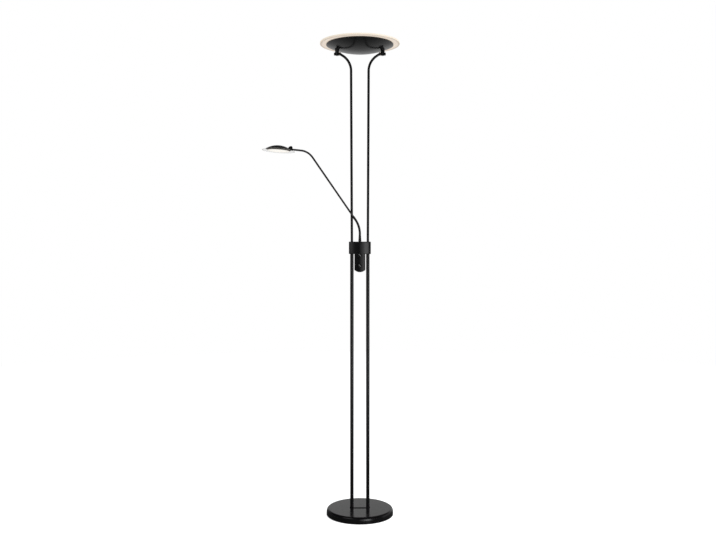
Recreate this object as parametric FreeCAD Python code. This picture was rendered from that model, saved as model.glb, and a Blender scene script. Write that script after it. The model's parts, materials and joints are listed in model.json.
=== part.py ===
import FreeCAD, Part
import math
import os
from FreeCAD import Vector

# Twin-pole torchiere floor lamp with a reading light on a flexible neck.
# Millimetres, +Z up. The origin is on the floor, midway between the two poles.
# +X is the viewer's right, the viewer stands on the -Y side.

# Driving dimensions: the stand
TOTAL_HEIGHT = 1800.0
BASE_RADIUS = 127.0
BASE_TOP_Z = 25.0
BASE_SHOULDER = [(20.0, 0.0, 20.0), (5.0, 20.0, 60.0), (12.0, 60.0, 90.0)]
POLE_HALF_SPACING = 30.4
LOWER_POLE_RADIUS = 6.75
UPPER_POLE_RADIUS = 4.75
POLE_WALL = 1.1
UPPER_BEND_RADIUS = 69.0
UPPER_BEND_ANGLE = 57.0

# Driving dimensions: the middle housing with its two dimmers
BRACKET_WIDTH = 84.0
BRACKET_DEPTH = 28.0
BRACKET_BOTTOM_Z = 993.0
BRACKET_TOP_Z = 1040.5
TONGUE_WIDTH = 42.0
TONGUE_BOTTOM_Z = 924.0
TONGUE_STEP = 0.3
TONGUE_CORNER = 4.5
TONGUE_SAG_RADIUS = 30.0
BRACKET_END_RADIUS = 8.0
BRACKET_EDGE_RADIUS = 2.5
HOUSING_WALL = 2.0
DIMMER_Z = {"upper": 989.0, "lower": 949.0}

# Driving dimensions: the reading arm
ARM_AZIMUTH = 20.0
NECK_BEND_RADIUS = 93.0
ARM_RISE_ANGLE = 53.6
ARM_TUBE_RADIUS = 3.5
NECK_RADIUS = 4.5
NECK_LINKS = 4
NECK_PITCH = 3.25
RIBS_PER_LINK = 5
ARM_TOP_BEND_RADIUS = 60.0
ARM_END_ANGLE = 3.5

# Driving dimensions: the reading head
READING_GLASS_RADIUS = 61.0
READING_SHELL_RADIUS = 48.0
READING_SHELL_HEIGHT = 15.0
READING_TILT = 3.8

# Driving dimensions: the uplighter
UPLIGHT_GLASS_RADIUS = 152.5
UPLIGHT_GLASS_THICKNESS = 6.0
BOWL_RADIUS = 128.5
BOWL_DEPTH = 28.0
RIM_BAND = 3.0

# Small fits
RUNNING_FIT = 0.08
PART_GAP = 0.3

UP = Vector(0, 0, 1)


def cylinder(radius, start, end):
    """Solid cylinder from one point to another."""
    axis = end - start
    return Part.makeCylinder(radius, axis.Length, start, axis)


def sleeve(outer, inner, start, end):
    """Round tube between two points."""
    axis = end - start
    outside = Part.makeCylinder(outer, axis.Length, start, axis)
    return outside.cut(Part.makeCylinder(inner, axis.Length, start, axis))


def turned(points, centre=Vector(0, 0, 0)):
    """Solid of revolution about the vertical through centre; points are (radius, z)."""
    corners = [Vector(radius, 0, z) + centre for radius, z in points]
    outline = Part.makePolygon(corners + [corners[0]])
    return Part.Face(outline).revolve(centre, UP, 360)


def centre_line(points, radii):
    """Straight runs joined by tangent arcs of the given radii at the inner points."""
    edges = []
    last = points[0]
    for index in range(1, len(points) - 1):
        corner = points[index]
        back = (points[index - 1] - corner).normalize()
        ahead = (points[index + 1] - corner).normalize()
        half_turn = (math.pi - back.getAngle(ahead)) / 2.0
        reach = radii[index - 1] * math.tan(half_turn)
        start = corner + back * reach
        end = corner + ahead * reach
        inward = (back + ahead).normalize()
        crown = corner + inward * (radii[index - 1] / math.cos(half_turn) - radii[index - 1])
        edges.append(Part.LineSegment(last, start).toShape())
        edges.append(Part.Arc(start, crown, end).toShape())
        last = end
    edges.append(Part.LineSegment(last, points[-1]).toShape())
    return Part.Wire(edges)


def swept(wire, radius):
    """Solid round bar along a wire of straight runs and tangent arcs."""
    first = wire.Edges[0]
    start = first.valueAt(first.FirstParameter)
    direction = first.tangentAt(first.FirstParameter)
    profile = Part.Wire(Part.makeCircle(radius, start, direction))
    return wire.makePipeShell([profile], True, False)


def ring_of(count, radius, start_angle=0.0):
    """Evenly spaced (x, y) points on a circle, with their angles."""
    places = []
    for index in range(count):
        angle = start_angle + 360.0 * index / count
        turn = math.radians(angle)
        places.append((radius * math.cos(turn), radius * math.sin(turn), angle))
    return places


def save(name, solids):
    """Write one node as a STEP file."""
    shape = solids if isinstance(solids, Part.Shape) else Part.makeCompound(solids)
    shape.exportStep("parts/%s.step" % name)
    volume = sum(solid.Volume for solid in shape.Solids)
    print("%-24s solids %d  volume %.0f  valid %s" % (name, len(shape.Solids), volume, shape.isValid()))


# The base: a stamped cover over an iron disc, on a felt pad

PAD_THICKNESS = 2.0
PAD_RADIUS = 119.0
COVER_WALL = 1.5
COVER_RIM_Z = 1.0
PLATE_THICKNESS = 2.2
PLATE_HALF_DEPTH = 8.5
WEIGHT_BOTTOM_Z = 5.0
WEIGHT_RADIUS = 122.0
STUD_RADIUS = 5.0
NUT_POCKET_RADIUS = 13.0
NUT_POCKET_TOP_Z = 14.0
CORD_CHANNEL_HALF_WIDTH = 5.5
CORD_CHANNEL_TOP_Z = 14.0
BUSH_Z = 9.5
BUSH_BORE_RADIUS = 3.5
BUSH_BODY_RADIUS = 5.0
BUSH_FLANGE_RADIUS = 7.0


def pole_places():
    return [Vector(-POLE_HALF_SPACING, 0, 0), Vector(POLE_HALF_SPACING, 0, 0)]


def shouldered_disc(bottom, inset):
    """Upright disc, drawn in by an inset; tangent arcs lead from its side to its top.

    Each arc of the shoulder has a radius and the two angles of its surface normal.
    """
    radius = BASE_RADIUS - inset
    arcs = [(size - inset, math.radians(low), math.radians(high)) for size, low, high in BASE_SHOULDER]
    rise = sum(size * (math.sin(high) - math.sin(low)) for size, low, high in arcs)
    at = Vector(radius, 0, BASE_TOP_Z - inset - rise)
    edges = [
        Part.LineSegment(Vector(0, 0, bottom), Vector(radius, 0, bottom)).toShape(),
        Part.LineSegment(Vector(radius, 0, bottom), at).toShape(),
    ]
    for size, low, high in arcs:
        centre = at - Vector(math.cos(low), 0, math.sin(low)) * size
        middle = (low + high) / 2.0
        crown = centre + Vector(math.cos(middle), 0, math.sin(middle)) * size
        end = centre + Vector(math.cos(high), 0, math.sin(high)) * size
        edges.append(Part.Arc(at, crown, end).toShape())
        at = end
    hub = Vector(0, 0, at.z)
    edges.append(Part.LineSegment(at, hub).toShape())
    edges.append(Part.LineSegment(hub, Vector(0, 0, bottom)).toShape())
    return Part.Face(Part.Wire(edges)).revolve(Vector(0, 0, 0), UP, 360)


def bush_point(y):
    return Vector(0, y, BUSH_Z)


def make_base_cover():
    cover = shouldered_disc(COVER_RIM_Z, 0.0).cut(shouldered_disc(COVER_RIM_Z, COVER_WALL))
    for place in pole_places():
        cover = cover.cut(cylinder(STUD_RADIUS + 0.1, place, place + UP * 40))
    bush_hole = cylinder(BUSH_BODY_RADIUS, bush_point(BASE_RADIUS - 8), bush_point(BASE_RADIUS + 8))
    return cover.cut(bush_hole)


def make_base_weight():
    top = BASE_TOP_Z - COVER_WALL
    weight = turned([
        (0, WEIGHT_BOTTOM_Z),
        (WEIGHT_RADIUS, WEIGHT_BOTTOM_Z),
        (WEIGHT_RADIUS, top - 5.5),
        (WEIGHT_RADIUS - 5.5, top),
        (0, top),
    ])
    for place in pole_places():
        weight = weight.cut(cylinder(STUD_RADIUS + 0.1, place, place + UP * 40))
        weight = weight.cut(cylinder(NUT_POCKET_RADIUS, place, place + UP * NUT_POCKET_TOP_Z))
    channel = Part.makeBox(
        2 * CORD_CHANNEL_HALF_WIDTH,
        BASE_RADIUS,
        CORD_CHANNEL_TOP_Z,
        Vector(POLE_HALF_SPACING - CORD_CHANNEL_HALF_WIDTH, 0, 0),
    )
    corner = Part.makeBox(
        POLE_HALF_SPACING + 8.0,
        18.0,
        CORD_CHANNEL_TOP_Z + 3.0,
        Vector(-8.0, BASE_RADIUS - 24.0, 0),
    )
    return weight.cut(channel).cut(corner)


def make_floor_pad():
    return turned([(0, 0), (PAD_RADIUS, 0), (PAD_RADIUS, PAD_THICKNESS), (0, PAD_THICKNESS)])


def make_pad_board():
    """Fibre board that closes the underside and carries the felt."""
    return turned([
        (0, PAD_THICKNESS),
        (WEIGHT_RADIUS, PAD_THICKNESS),
        (WEIGHT_RADIUS, WEIGHT_BOTTOM_Z),
        (0, WEIGHT_BOTTOM_Z),
    ])


def make_foot_plate():
    plate = Part.makeBox(
        2 * POLE_HALF_SPACING,
        2 * PLATE_HALF_DEPTH,
        PLATE_THICKNESS,
        Vector(-POLE_HALF_SPACING, -PLATE_HALF_DEPTH, BASE_TOP_Z),
    )
    for place in pole_places():
        foot = place + UP * BASE_TOP_Z
        plate = plate.fuse(cylinder(PLATE_HALF_DEPTH, foot, foot + UP * PLATE_THICKNESS))
    plate = plate.removeSplitter()
    plate_top = BASE_TOP_Z + PLATE_THICKNESS
    top_edges = [edge for edge in plate.Edges if edge.BoundBox.ZMin > plate_top - 0.01]
    plate = plate.makeChamfer(0.5, top_edges)
    for place in pole_places():
        plate = plate.cut(cylinder(STUD_RADIUS + 0.1, place, place + UP * 40))
    return plate


def make_foot_studs():
    """Hollow threaded stud with the plug that is welded into the pole's foot."""
    plate_top = BASE_TOP_Z + PLATE_THICKNESS
    studs = []
    for place in pole_places():
        stud = cylinder(STUD_RADIUS, place + UP * 7.0, place + UP * (plate_top + 20))
        plug_radius = LOWER_POLE_RADIUS - POLE_WALL
        plug = cylinder(plug_radius, place + UP * plate_top, place + UP * (plate_top + 24))
        bore = cylinder(3.6, place, place + UP * 80)
        studs.append(stud.fuse(plug).cut(bore).removeSplitter())
    return studs


def make_foot_nuts():
    """Flanged nuts that pull both poles down on the base."""
    nuts = []
    for place in pole_places():
        flange = cylinder(11.0, place + UP * 12.4, place + UP * NUT_POCKET_TOP_Z)
        body = hexagon_bar(17.0, place + UP * 7.4, place + UP * 12.4)
        nuts.append(flange.fuse(body).cut(cylinder(STUD_RADIUS, place, place + UP * 40)))
    return nuts


def hexagon_bar(across_flats, start, end):
    """Hexagonal bar between two points."""
    axis = end - start
    radius = across_flats / math.sqrt(3.0)
    corners = [Vector(x, y, 0) for x, y, _ in ring_of(6, radius)]
    bar = Part.Face(Part.makePolygon(corners + [corners[0]])).extrude(Vector(0, 0, axis.Length))
    bar.Placement = FreeCAD.Placement(start, FreeCAD.Rotation(UP, axis))
    return bar


def make_cord_bush():
    """Rubber bush in the rear of the cover, where the mains cord comes out."""
    inner_y = BASE_RADIUS - COVER_WALL - 2.5
    outer_y = BASE_RADIUS + 1.5
    body = cylinder(BUSH_BODY_RADIUS, bush_point(inner_y), bush_point(outer_y))
    inner_flange = cylinder(BUSH_FLANGE_RADIUS, bush_point(inner_y), bush_point(inner_y + 2.0))
    outer_flange = cylinder(BUSH_FLANGE_RADIUS - 0.5, bush_point(BASE_RADIUS), bush_point(outer_y))
    bush = body.fuse(inner_flange).fuse(outer_flange)
    bore = cylinder(BUSH_BORE_RADIUS, bush_point(inner_y - 1), bush_point(outer_y + 1))
    return bush.cut(bore).removeSplitter()


# The two poles

LOWER_POLE_FOOT_Z = BASE_TOP_Z + PLATE_THICKNESS
COUPLER_SHOULDER_Z = 1000.0
UPPER_POLE_FOOT_Z = 1012.0
COUPLER_TOP_Z = 1030.0
UPPER_BEND_START = Vector(33.5, 0, 1693.0)
END_EYE_INNER_X = 73.0
END_EYE_OUTER_X = 78.4
EYE_RADIUS = 6.0
END_PLUG_LENGTH = 6.0


def mirrored(shape, side):
    """The same piece on the left (side -1) or, unchanged, on the right (side 1)."""
    if side > 0:
        return shape
    return shape.rotated(Vector(0, 0, 0), UP, 180)


def upper_pole_corner_points():
    """Foot, bend corner and end of the right upper pole's centre line."""
    foot = Vector(POLE_HALF_SPACING, 0, UPPER_POLE_FOOT_Z)
    rise = (UPPER_BEND_START - foot).normalize()
    turn = math.radians(UPPER_BEND_ANGLE)
    reach = UPPER_BEND_RADIUS * math.tan(turn / 2.0)
    corner = UPPER_BEND_START + rise * reach
    lean = math.atan2(rise.x, rise.z)
    outward = Vector(math.sin(lean + turn), 0, math.cos(lean + turn))
    run = (END_EYE_INNER_X - 2.5 - corner.x) / outward.x
    return foot, corner, corner + outward * run, outward


def hinge_z():
    """Height of the tilt axis: the pole's end line meets the eye's middle there."""
    _, _, end, outward = upper_pole_corner_points()
    middle_x = (END_EYE_INNER_X + END_EYE_OUTER_X) / 2.0
    return end.z + outward.z / outward.x * (middle_x - end.x)


def make_lower_pole(side):
    place = Vector(side * POLE_HALF_SPACING, 0, 0)
    return sleeve(
        LOWER_POLE_RADIUS,
        LOWER_POLE_RADIUS - POLE_WALL,
        place + UP * LOWER_POLE_FOOT_Z,
        place + UP * COUPLER_SHOULDER_Z,
    )


def make_upper_pole(side):
    foot, corner, end, _ = upper_pole_corner_points()
    line = centre_line([foot, corner, end], [UPPER_BEND_RADIUS])
    bar = swept(line, UPPER_POLE_RADIUS)
    bore = swept(line, UPPER_POLE_RADIUS - POLE_WALL)
    return mirrored(bar.cut(bore), side)


def make_pole_couplers():
    """Turned pieces inside the housing that join each lower pole to its upper pole."""
    couplers = []
    for place in pole_places():
        spigot = cylinder(
            LOWER_POLE_RADIUS - POLE_WALL,
            place + UP * (COUPLER_SHOULDER_Z - 20),
            place + UP * COUPLER_SHOULDER_Z,
        )
        body = cylinder(LOWER_POLE_RADIUS, place + UP * COUPLER_SHOULDER_Z, place + UP * COUPLER_TOP_Z)
        socket_floor = place + UP * (UPPER_POLE_FOOT_Z - 0.1)
        socket = cylinder(UPPER_POLE_RADIUS + 0.1, socket_floor, place + UP * COUPLER_TOP_Z)
        passage = cylinder(3.2, place + UP * 900, place + UP * 1100)
        inward = Vector(-math.copysign(1.0, place.x), 0, 0)
        window_start = place + UP * 1006
        window = cylinder(2.6, window_start, window_start + inward * 12)
        couplers.append(spigot.fuse(body).cut(socket).cut(passage).cut(window).removeSplitter())
    return couplers


def make_pole_end_eyes():
    """Flat eyes at the top of the poles, with a shoulder and a plug in the tube."""
    _, _, end, outward = upper_pole_corner_points()
    height = hinge_z()
    eye = cylinder(EYE_RADIUS, Vector(END_EYE_INNER_X, 0, height), Vector(END_EYE_OUTER_X, 0, height))
    shoulder = cylinder(UPPER_POLE_RADIUS, end, end + outward * 7.5)
    inner_side = Part.makeBox(40, 40, 60, Vector(END_EYE_OUTER_X - 40.0, -20, height - 30))
    shoulder = shoulder.common(inner_side)
    plug = cylinder(UPPER_POLE_RADIUS - POLE_WALL, end - outward * END_PLUG_LENGTH, end + outward * 2)
    thread = cylinder(2.5 + RUNNING_FIT, Vector(END_EYE_INNER_X + 1.2, 0, height), Vector(90, 0, height))
    piece = eye.fuse(shoulder).fuse(plug).removeSplitter().cut(thread)
    passage = cylinder(1.5, end - outward * (END_PLUG_LENGTH + 1.0), end - outward * 1.0)
    piece = piece.cut(passage)
    return [mirrored(piece, side) for side in (-1, 1)]


# The middle housing: two half shells clamped round the poles

def oval_arcs():
    """Centre and radius of the oval's right end arc, and of its shallow front and back arcs."""
    end_x = BRACKET_WIDTH / 2.0 - BRACKET_END_RADIUS
    rise = BRACKET_DEPTH / 2.0 - BRACKET_END_RADIUS
    face_y = (end_x ** 2 - rise ** 2) / (2.0 * rise)
    return end_x, face_y, face_y + BRACKET_DEPTH / 2.0


def oval_block(inset, bottom, top):
    """Upright block with the housing's oval plan, drawn in by an inset."""
    end_x, face_y, face_radius = oval_arcs()
    lean = math.atan2(end_x, face_y)
    radius = face_radius - inset
    x = radius * math.sin(lean)
    y = radius * math.cos(lean) - face_y
    half_width = BRACKET_WIDTH / 2.0 - inset
    half_depth = BRACKET_DEPTH / 2.0 - inset
    arcs = [
        Part.Arc(Vector(-x, -y, bottom), Vector(0, -half_depth, bottom), Vector(x, -y, bottom)),
        Part.Arc(Vector(x, -y, bottom), Vector(half_width, 0, bottom), Vector(x, y, bottom)),
        Part.Arc(Vector(x, y, bottom), Vector(0, half_depth, bottom), Vector(-x, y, bottom)),
        Part.Arc(Vector(-x, y, bottom), Vector(-half_width, 0, bottom), Vector(-x, -y, bottom)),
    ]
    outline = Part.Wire([arc.toShape() for arc in arcs])
    return Part.Face(outline).extrude(UP * (top - bottom))


def face_depth(x):
    """Distance of the tongue's curved face from the plane of the poles."""
    _, face_y, face_radius = oval_arcs()
    return math.sqrt((face_radius - TONGUE_STEP) ** 2 - x * x) - face_y


def tongue_block(inset, corner, bottom, top, sag_radius):
    """Narrow strip of the oval block, with a shallow arc as its lower end."""
    half_width = TONGUE_WIDTH / 2.0 - inset + TONGUE_STEP
    half_depth = BRACKET_DEPTH / 2.0
    shape_height = top - bottom
    strip = Part.makeBox(
        2 * half_width,
        2 * half_depth,
        shape_height + 4.0,
        Vector(-half_width, -half_depth, bottom - 2.0),
    )
    slab = oval_block(inset, bottom - 1.0, top).common(strip)
    upright = [edge for edge in slab.Edges if edge.BoundBox.ZLength > shape_height]
    slab = slab.makeFillet(corner, upright)
    disc = cylinder(
        sag_radius,
        Vector(0, -half_depth - 1, bottom + sag_radius),
        Vector(0, half_depth + 1, bottom + sag_radius),
    )
    upper = Part.makeBox(
        2 * half_width + 2,
        2 * half_depth + 2,
        shape_height,
        Vector(-half_width - 1, -half_depth - 1, bottom + sag_radius),
    )
    return slab.common(disc.fuse(upper))


def housing_outside():
    bracket = oval_block(0.0, BRACKET_BOTTOM_Z, BRACKET_TOP_Z)
    level = [edge for edge in bracket.Edges if edge.BoundBox.ZLength < 0.01]
    bracket = bracket.makeFillet(BRACKET_EDGE_RADIUS, level)
    tongue = tongue_block(
        TONGUE_STEP, TONGUE_CORNER, TONGUE_BOTTOM_Z, BRACKET_TOP_Z - 8.0, TONGUE_SAG_RADIUS
    )
    lower = [
        edge
        for edge in tongue.Edges
        if edge.BoundBox.ZMax < TONGUE_BOTTOM_Z + 12
        and edge.BoundBox.XLength > 2 * edge.BoundBox.YLength
    ]
    tongue = tongue.makeFillet(2.0, lower)
    return bracket.fuse(tongue).removeSplitter()


def housing_inside():
    wall = HOUSING_WALL
    bracket = oval_block(wall, BRACKET_BOTTOM_Z + wall, BRACKET_TOP_Z - wall)
    tongue = tongue_block(
        TONGUE_STEP + wall,
        TONGUE_CORNER - wall,
        TONGUE_BOTTOM_Z + wall,
        BRACKET_TOP_Z - 12.0,
        TONGUE_SAG_RADIUS - wall,
    )
    return bracket.fuse(tongue).removeSplitter()


SCREW_PLACES = [(-15.0, 1026.0), (15.0, 1026.0), (-14.0, 938.0), (14.0, 938.0)]
SCREW_RADIUS = 1.5
BOSS_RADIUS = 3.2
SWIVEL_BUSH_RADIUS = 7.0
SWIVEL_FLANGE_RADIUS = 9.0
SWIVEL_FLANGE_Z = 1034.5


def half_space(front):
    """A big box in front of, or behind, the plane through both poles."""
    y = -200.0 if front else 0.0
    return Part.makeBox(400, 200, 400, Vector(-200, y, 800))


def housing_openings():
    """What passes through both half shells: poles and the arm's swivel bush."""
    cutters = []
    for place in pole_places():
        cutters.append(cylinder(LOWER_POLE_RADIUS, place + UP * 900, place + UP * 1010))
        cutters.append(cylinder(UPPER_POLE_RADIUS + 0.2, place + UP * 1010, place + UP * 1100))
    cutters.append(cylinder(SWIVEL_BUSH_RADIUS, UP * (SWIVEL_FLANGE_Z - 1), UP * 1100))
    cutters.append(cylinder(SWIVEL_FLANGE_RADIUS, UP * (SWIVEL_FLANGE_Z - 2.0), UP * SWIVEL_FLANGE_Z))
    return cutters


def housing_half(front):
    half = housing_outside().common(half_space(front))
    hollow = housing_inside().common(half_space(front))
    shell = half.cut(hollow)
    pads = []
    for place in pole_places():
        saddle = Part.makeBox(18, BRACKET_DEPTH, 5, Vector(place.x - 9, -BRACKET_DEPTH / 2.0, 1020))
        pads.append(saddle.common(half))
    deck_height = BRACKET_TOP_Z - SWIVEL_FLANGE_Z
    half_depth = BRACKET_DEPTH / 2.0
    deck = Part.makeBox(24, BRACKET_DEPTH, deck_height, Vector(-12, -half_depth, SWIVEL_FLANGE_Z))
    pads.append(deck.common(half))
    for x, z in SCREW_PLACES:
        boss = cylinder(BOSS_RADIUS, Vector(x, -half_depth, z), Vector(x, half_depth, z))
        pads.append(boss.common(half))
    for pad in pads:
        shell = shell.fuse(pad)
    for cutter in housing_openings():
        shell = shell.cut(cutter)
    for place in pole_places():
        coupler_room = cylinder(LOWER_POLE_RADIUS, place + UP * 990, place + UP * COUPLER_TOP_Z)
        shell = shell.cut(coupler_room)
    return shell


def make_housing_front():
    shell = housing_half(True)
    for x, z in SCREW_PLACES:
        shell = shell.cut(cylinder(SCREW_RADIUS, Vector(x, -10, z), Vector(x, 10, z)))
    for z in DIMMER_Z.values():
        shell = shell.cut(cylinder(POT_BUSHING_RADIUS, Vector(0, -20, z), Vector(0, 0, z)))
    return shell.removeSplitter()


def make_housing_rear():
    shell = housing_half(False)
    for x, z in SCREW_PLACES:
        back = face_depth(x)
        shell = shell.cut(cylinder(SCREW_RADIUS + 0.2, Vector(x, -1, z), Vector(x, back + 1, z)))
        shell = shell.cut(cylinder(2.9, Vector(x, back - 2.4, z), Vector(x, back + 1, z)))
    return shell.removeSplitter()


def make_housing_screws():
    screws = []
    for x, z in SCREW_PLACES:
        back = face_depth(x)
        shank = cylinder(SCREW_RADIUS, Vector(x, -8, z), Vector(x, back - 2.4, z))
        head = cylinder(2.75, Vector(x, back - 2.4, z), Vector(x, back - 0.7, z))
        slot_a = Part.makeBox(4.0, 1.0, 0.8, Vector(x - 2.0, back - 1.6, z - 0.4))
        slot_b = Part.makeBox(0.8, 1.0, 4.0, Vector(x - 0.4, back - 1.6, z - 2.0))
        screws.append(shank.fuse(head).cut(slot_a).cut(slot_b).removeSplitter())
    return screws


# The dimmers

POT_BODY_RADIUS = 8.0
POT_BACK_Y = -3.0
POT_FRONT_Y = -11.3
POT_BUSHING_RADIUS = 3.5
SHAFT_RADIUS = 3.0
KNOB_RADIUS = 7.5
KNOB_BACK_Y = -14.6
KNOB_SKIRT_Y = -18.6
KNOB_FRONT_Y = -23.8
KNOB_BAR_TOP = 2.4
KNOB_BAR_FOOT = 10.4
KNOB_SOCKET_Y = -20.0
KNOB_POINTER_ANGLE = -45.0
BOARD_BACK_Y = -1.4


def make_dimmer_board():
    """Circuit board behind both dimmers, with its soldered choke and capacitors."""
    board = Part.makeBox(32, POT_BACK_Y * -1 + BOARD_BACK_Y, 66, Vector(-16, POT_BACK_Y, 943))
    for x, z in SCREW_PLACES:
        board = board.cut(cylinder(BOSS_RADIUS + 0.3, Vector(x, -10, z), Vector(x, 10, z)))
    choke = cylinder(6.0, Vector(-6, BOARD_BACK_Y, 985), Vector(-6, 7.0, 985))
    capacitor = cylinder(4.0, Vector(7, BOARD_BACK_Y, 975), Vector(7, 9.5, 975))
    second_capacitor = cylinder(4.0, Vector(7, BOARD_BACK_Y, 962), Vector(7, 9.5, 962))
    transistor = Part.makeBox(10, 4.5, 15, Vector(-12, BOARD_BACK_Y, 955))
    for piece in (choke, capacitor, second_capacitor, transistor):
        board = board.fuse(piece)
    return board


def make_dimmer_pots():
    """Rotary control bodies with their threaded bushings through the front shell."""
    pots = []
    for z in DIMMER_Z.values():
        body = cylinder(POT_BODY_RADIUS, Vector(0, POT_BACK_Y, z), Vector(0, POT_FRONT_Y, z))
        bushing = cylinder(POT_BUSHING_RADIUS, Vector(0, POT_FRONT_Y, z), Vector(0, -16.4, z))
        bore = cylinder(SHAFT_RADIUS + RUNNING_FIT, Vector(0, -5.0, z), Vector(0, -30, z))
        pots.append(body.fuse(bushing).cut(bore).removeSplitter())
    return pots


def make_pot_nuts():
    nuts = []
    for z in DIMMER_Z.values():
        nut = hexagon_bar(10.0, Vector(0, -14.0, z), Vector(0, -16.2, z))
        nuts.append(nut.cut(cylinder(POT_BUSHING_RADIUS, Vector(0, -10, z), Vector(0, -20, z))))
    return nuts


def make_dimmer_shaft(z):
    return cylinder(SHAFT_RADIUS, Vector(0, -5.3, z), Vector(0, KNOB_SOCKET_Y, z))


def make_dimmer_knob(z):
    """Round skirt with a pointer bar across it, whose flanks slope like a roof."""
    skirt = cylinder(KNOB_RADIUS, Vector(0, KNOB_BACK_Y, z), Vector(0, KNOB_SKIRT_Y, z))
    foot = KNOB_BAR_FOOT / 2.0
    crest = KNOB_BAR_TOP / 2.0
    section = [
        Vector(-KNOB_RADIUS, KNOB_SKIRT_Y + 1.0, z - foot),
        Vector(-KNOB_RADIUS, KNOB_SKIRT_Y, z - foot),
        Vector(-KNOB_RADIUS, KNOB_FRONT_Y, z - crest),
        Vector(-KNOB_RADIUS, KNOB_FRONT_Y, z + crest),
        Vector(-KNOB_RADIUS, KNOB_SKIRT_Y, z + foot),
        Vector(-KNOB_RADIUS, KNOB_SKIRT_Y + 1.0, z + foot),
    ]
    bar = Part.Face(Part.makePolygon(section + [section[0]])).extrude(Vector(2 * KNOB_RADIUS, 0, 0))
    front = [
        edge
        for edge in bar.Edges
        if edge.BoundBox.YMax < KNOB_FRONT_Y + 0.01 and edge.BoundBox.XLength > 1
    ]
    bar = bar.makeFillet(0.7, front)
    round_bar = cylinder(KNOB_RADIUS, Vector(0, KNOB_BACK_Y, z), Vector(0, KNOB_FRONT_Y - 1, z))
    bar = bar.common(round_bar)
    bar = bar.rotated(Vector(0, 0, z), Vector(0, -1, 0), KNOB_POINTER_ANGLE)
    knob = skirt.fuse(bar).removeSplitter()
    knob = knob.cut(cylinder(SHAFT_RADIUS, Vector(0, -10, z), Vector(0, KNOB_SOCKET_Y, z)))
    return knob.cut(cylinder(6.2, Vector(0, -10, z), Vector(0, -16.8, z)))


def make_terminal_block():
    """Lead connector behind the board, at the top of the housing."""
    block = Part.makeBox(20, 8, 9, Vector(-10, 0.5, 1006))
    for x in (-6.0, 0.0, 6.0):
        block = block.cut(cylinder(1.4, Vector(x, 4.0, 1000), Vector(x, 4.0, 1020)))
    return block


def make_uplight_lead():
    """Lead from the housing up inside the left pole to its end eye."""
    foot, corner, end, outward = upper_pole_corner_points()
    top = end - outward * (END_PLUG_LENGTH + 0.5)
    line = centre_line([foot - UP * 6.0, corner, top], [UPPER_BEND_RADIUS])
    return mirrored(swept(line, 2.0), -1)


# The arm's swivel on top of the housing

SWIVEL_STUD_RADIUS = 4.0
SWIVEL_NUT_Z = 1022.0
COLLAR_BASE_Z = BRACKET_TOP_Z + PART_GAP
COLLAR_BASE_RADIUS = 5.9
NECK_START_Z = 1065.0


def make_swivel_bush():
    """Plain bearing held between the half shells."""
    bush = turned([
        (SWIVEL_STUD_RADIUS + RUNNING_FIT, SWIVEL_FLANGE_Z - 2.0),
        (SWIVEL_FLANGE_RADIUS, SWIVEL_FLANGE_Z - 2.0),
        (SWIVEL_FLANGE_RADIUS, SWIVEL_FLANGE_Z),
        (SWIVEL_BUSH_RADIUS, SWIVEL_FLANGE_Z),
        (SWIVEL_BUSH_RADIUS, BRACKET_TOP_Z),
        (SWIVEL_STUD_RADIUS + RUNNING_FIT, BRACKET_TOP_Z),
    ])
    return bush


def make_swivel_stud():
    """Hollow threaded stud, fixed in the collar, turning in the bush."""
    return sleeve(SWIVEL_STUD_RADIUS, 2.6, UP * (SWIVEL_NUT_Z - 3.0), UP * (COLLAR_BASE_Z + 12.0))


def make_swivel_washer():
    top = SWIVEL_FLANGE_Z - 2.0 - PART_GAP
    return sleeve(8.0, SWIVEL_STUD_RADIUS, UP * (SWIVEL_NUT_Z + 6.0), UP * top)


def make_swivel_nut():
    nut = hexagon_bar(13.0, UP * SWIVEL_NUT_Z, UP * (SWIVEL_NUT_Z + 6.0))
    return nut.cut(cylinder(SWIVEL_STUD_RADIUS, UP * (SWIVEL_NUT_Z - 1), UP * (SWIVEL_NUT_Z + 7.0)))


# The flexible neck and the arm, drawn in the arm's own upright plane

NECK_LINK_LENGTH = NECK_PITCH * RIBS_PER_LINK
NECK_STRAIGHT = 4.0
FERRULE_LENGTH = 9.0
RIB_WIDTH = 2.1
NECK_CORE_RADIUS = 3.9
NECK_BALL_RADIUS = 3.0
NECK_SOCKET_GAP = 0.3
NECK_BORE_RADIUS = 1.3
TUBE_IN_FERRULE = 7.0
ARM_CORNER_REACH = 205.0
ARM_END_RUN = 60.0


def arm_outward():
    """Level unit vector from the stand towards the reading head."""
    turn = math.radians(ARM_AZIMUTH)
    return Vector(-math.cos(turn), -math.sin(turn), 0)


def arm_side():
    """Level unit vector square to the arm's plane, towards the viewer."""
    return UP.cross(arm_outward())


def arm_point(reach, z):
    return arm_outward() * reach + UP * z


def arm_direction(angle):
    """Unit vector in the arm's plane, at an angle above the level."""
    turn = math.radians(angle)
    return arm_outward() * math.cos(turn) + UP * math.sin(turn)


def neck_place(distance):
    """Point and direction on the neck's centre line, at a distance from its foot."""
    sweep = math.radians(90.0 - ARM_RISE_ANGLE)
    arc_length = NECK_BEND_RADIUS * sweep
    bend_z = NECK_START_Z + NECK_STRAIGHT
    if distance <= NECK_STRAIGHT:
        return arm_point(0, NECK_START_Z + distance), arm_direction(90.0)
    turned_by = min((distance - NECK_STRAIGHT) / NECK_BEND_RADIUS, sweep)
    reach = NECK_BEND_RADIUS * (1 - math.cos(turned_by))
    height = bend_z + NECK_BEND_RADIUS * math.sin(turned_by)
    heading = arm_direction(90.0 - math.degrees(turned_by))
    beyond = max(distance - NECK_STRAIGHT - arc_length, 0.0)
    return arm_point(reach, height) + heading * beyond, heading


def along(distance, before, after):
    """The two ends of a short straight stretch round a point on the neck."""
    point, heading = neck_place(distance)
    return point - heading * before, point + heading * after


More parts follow.
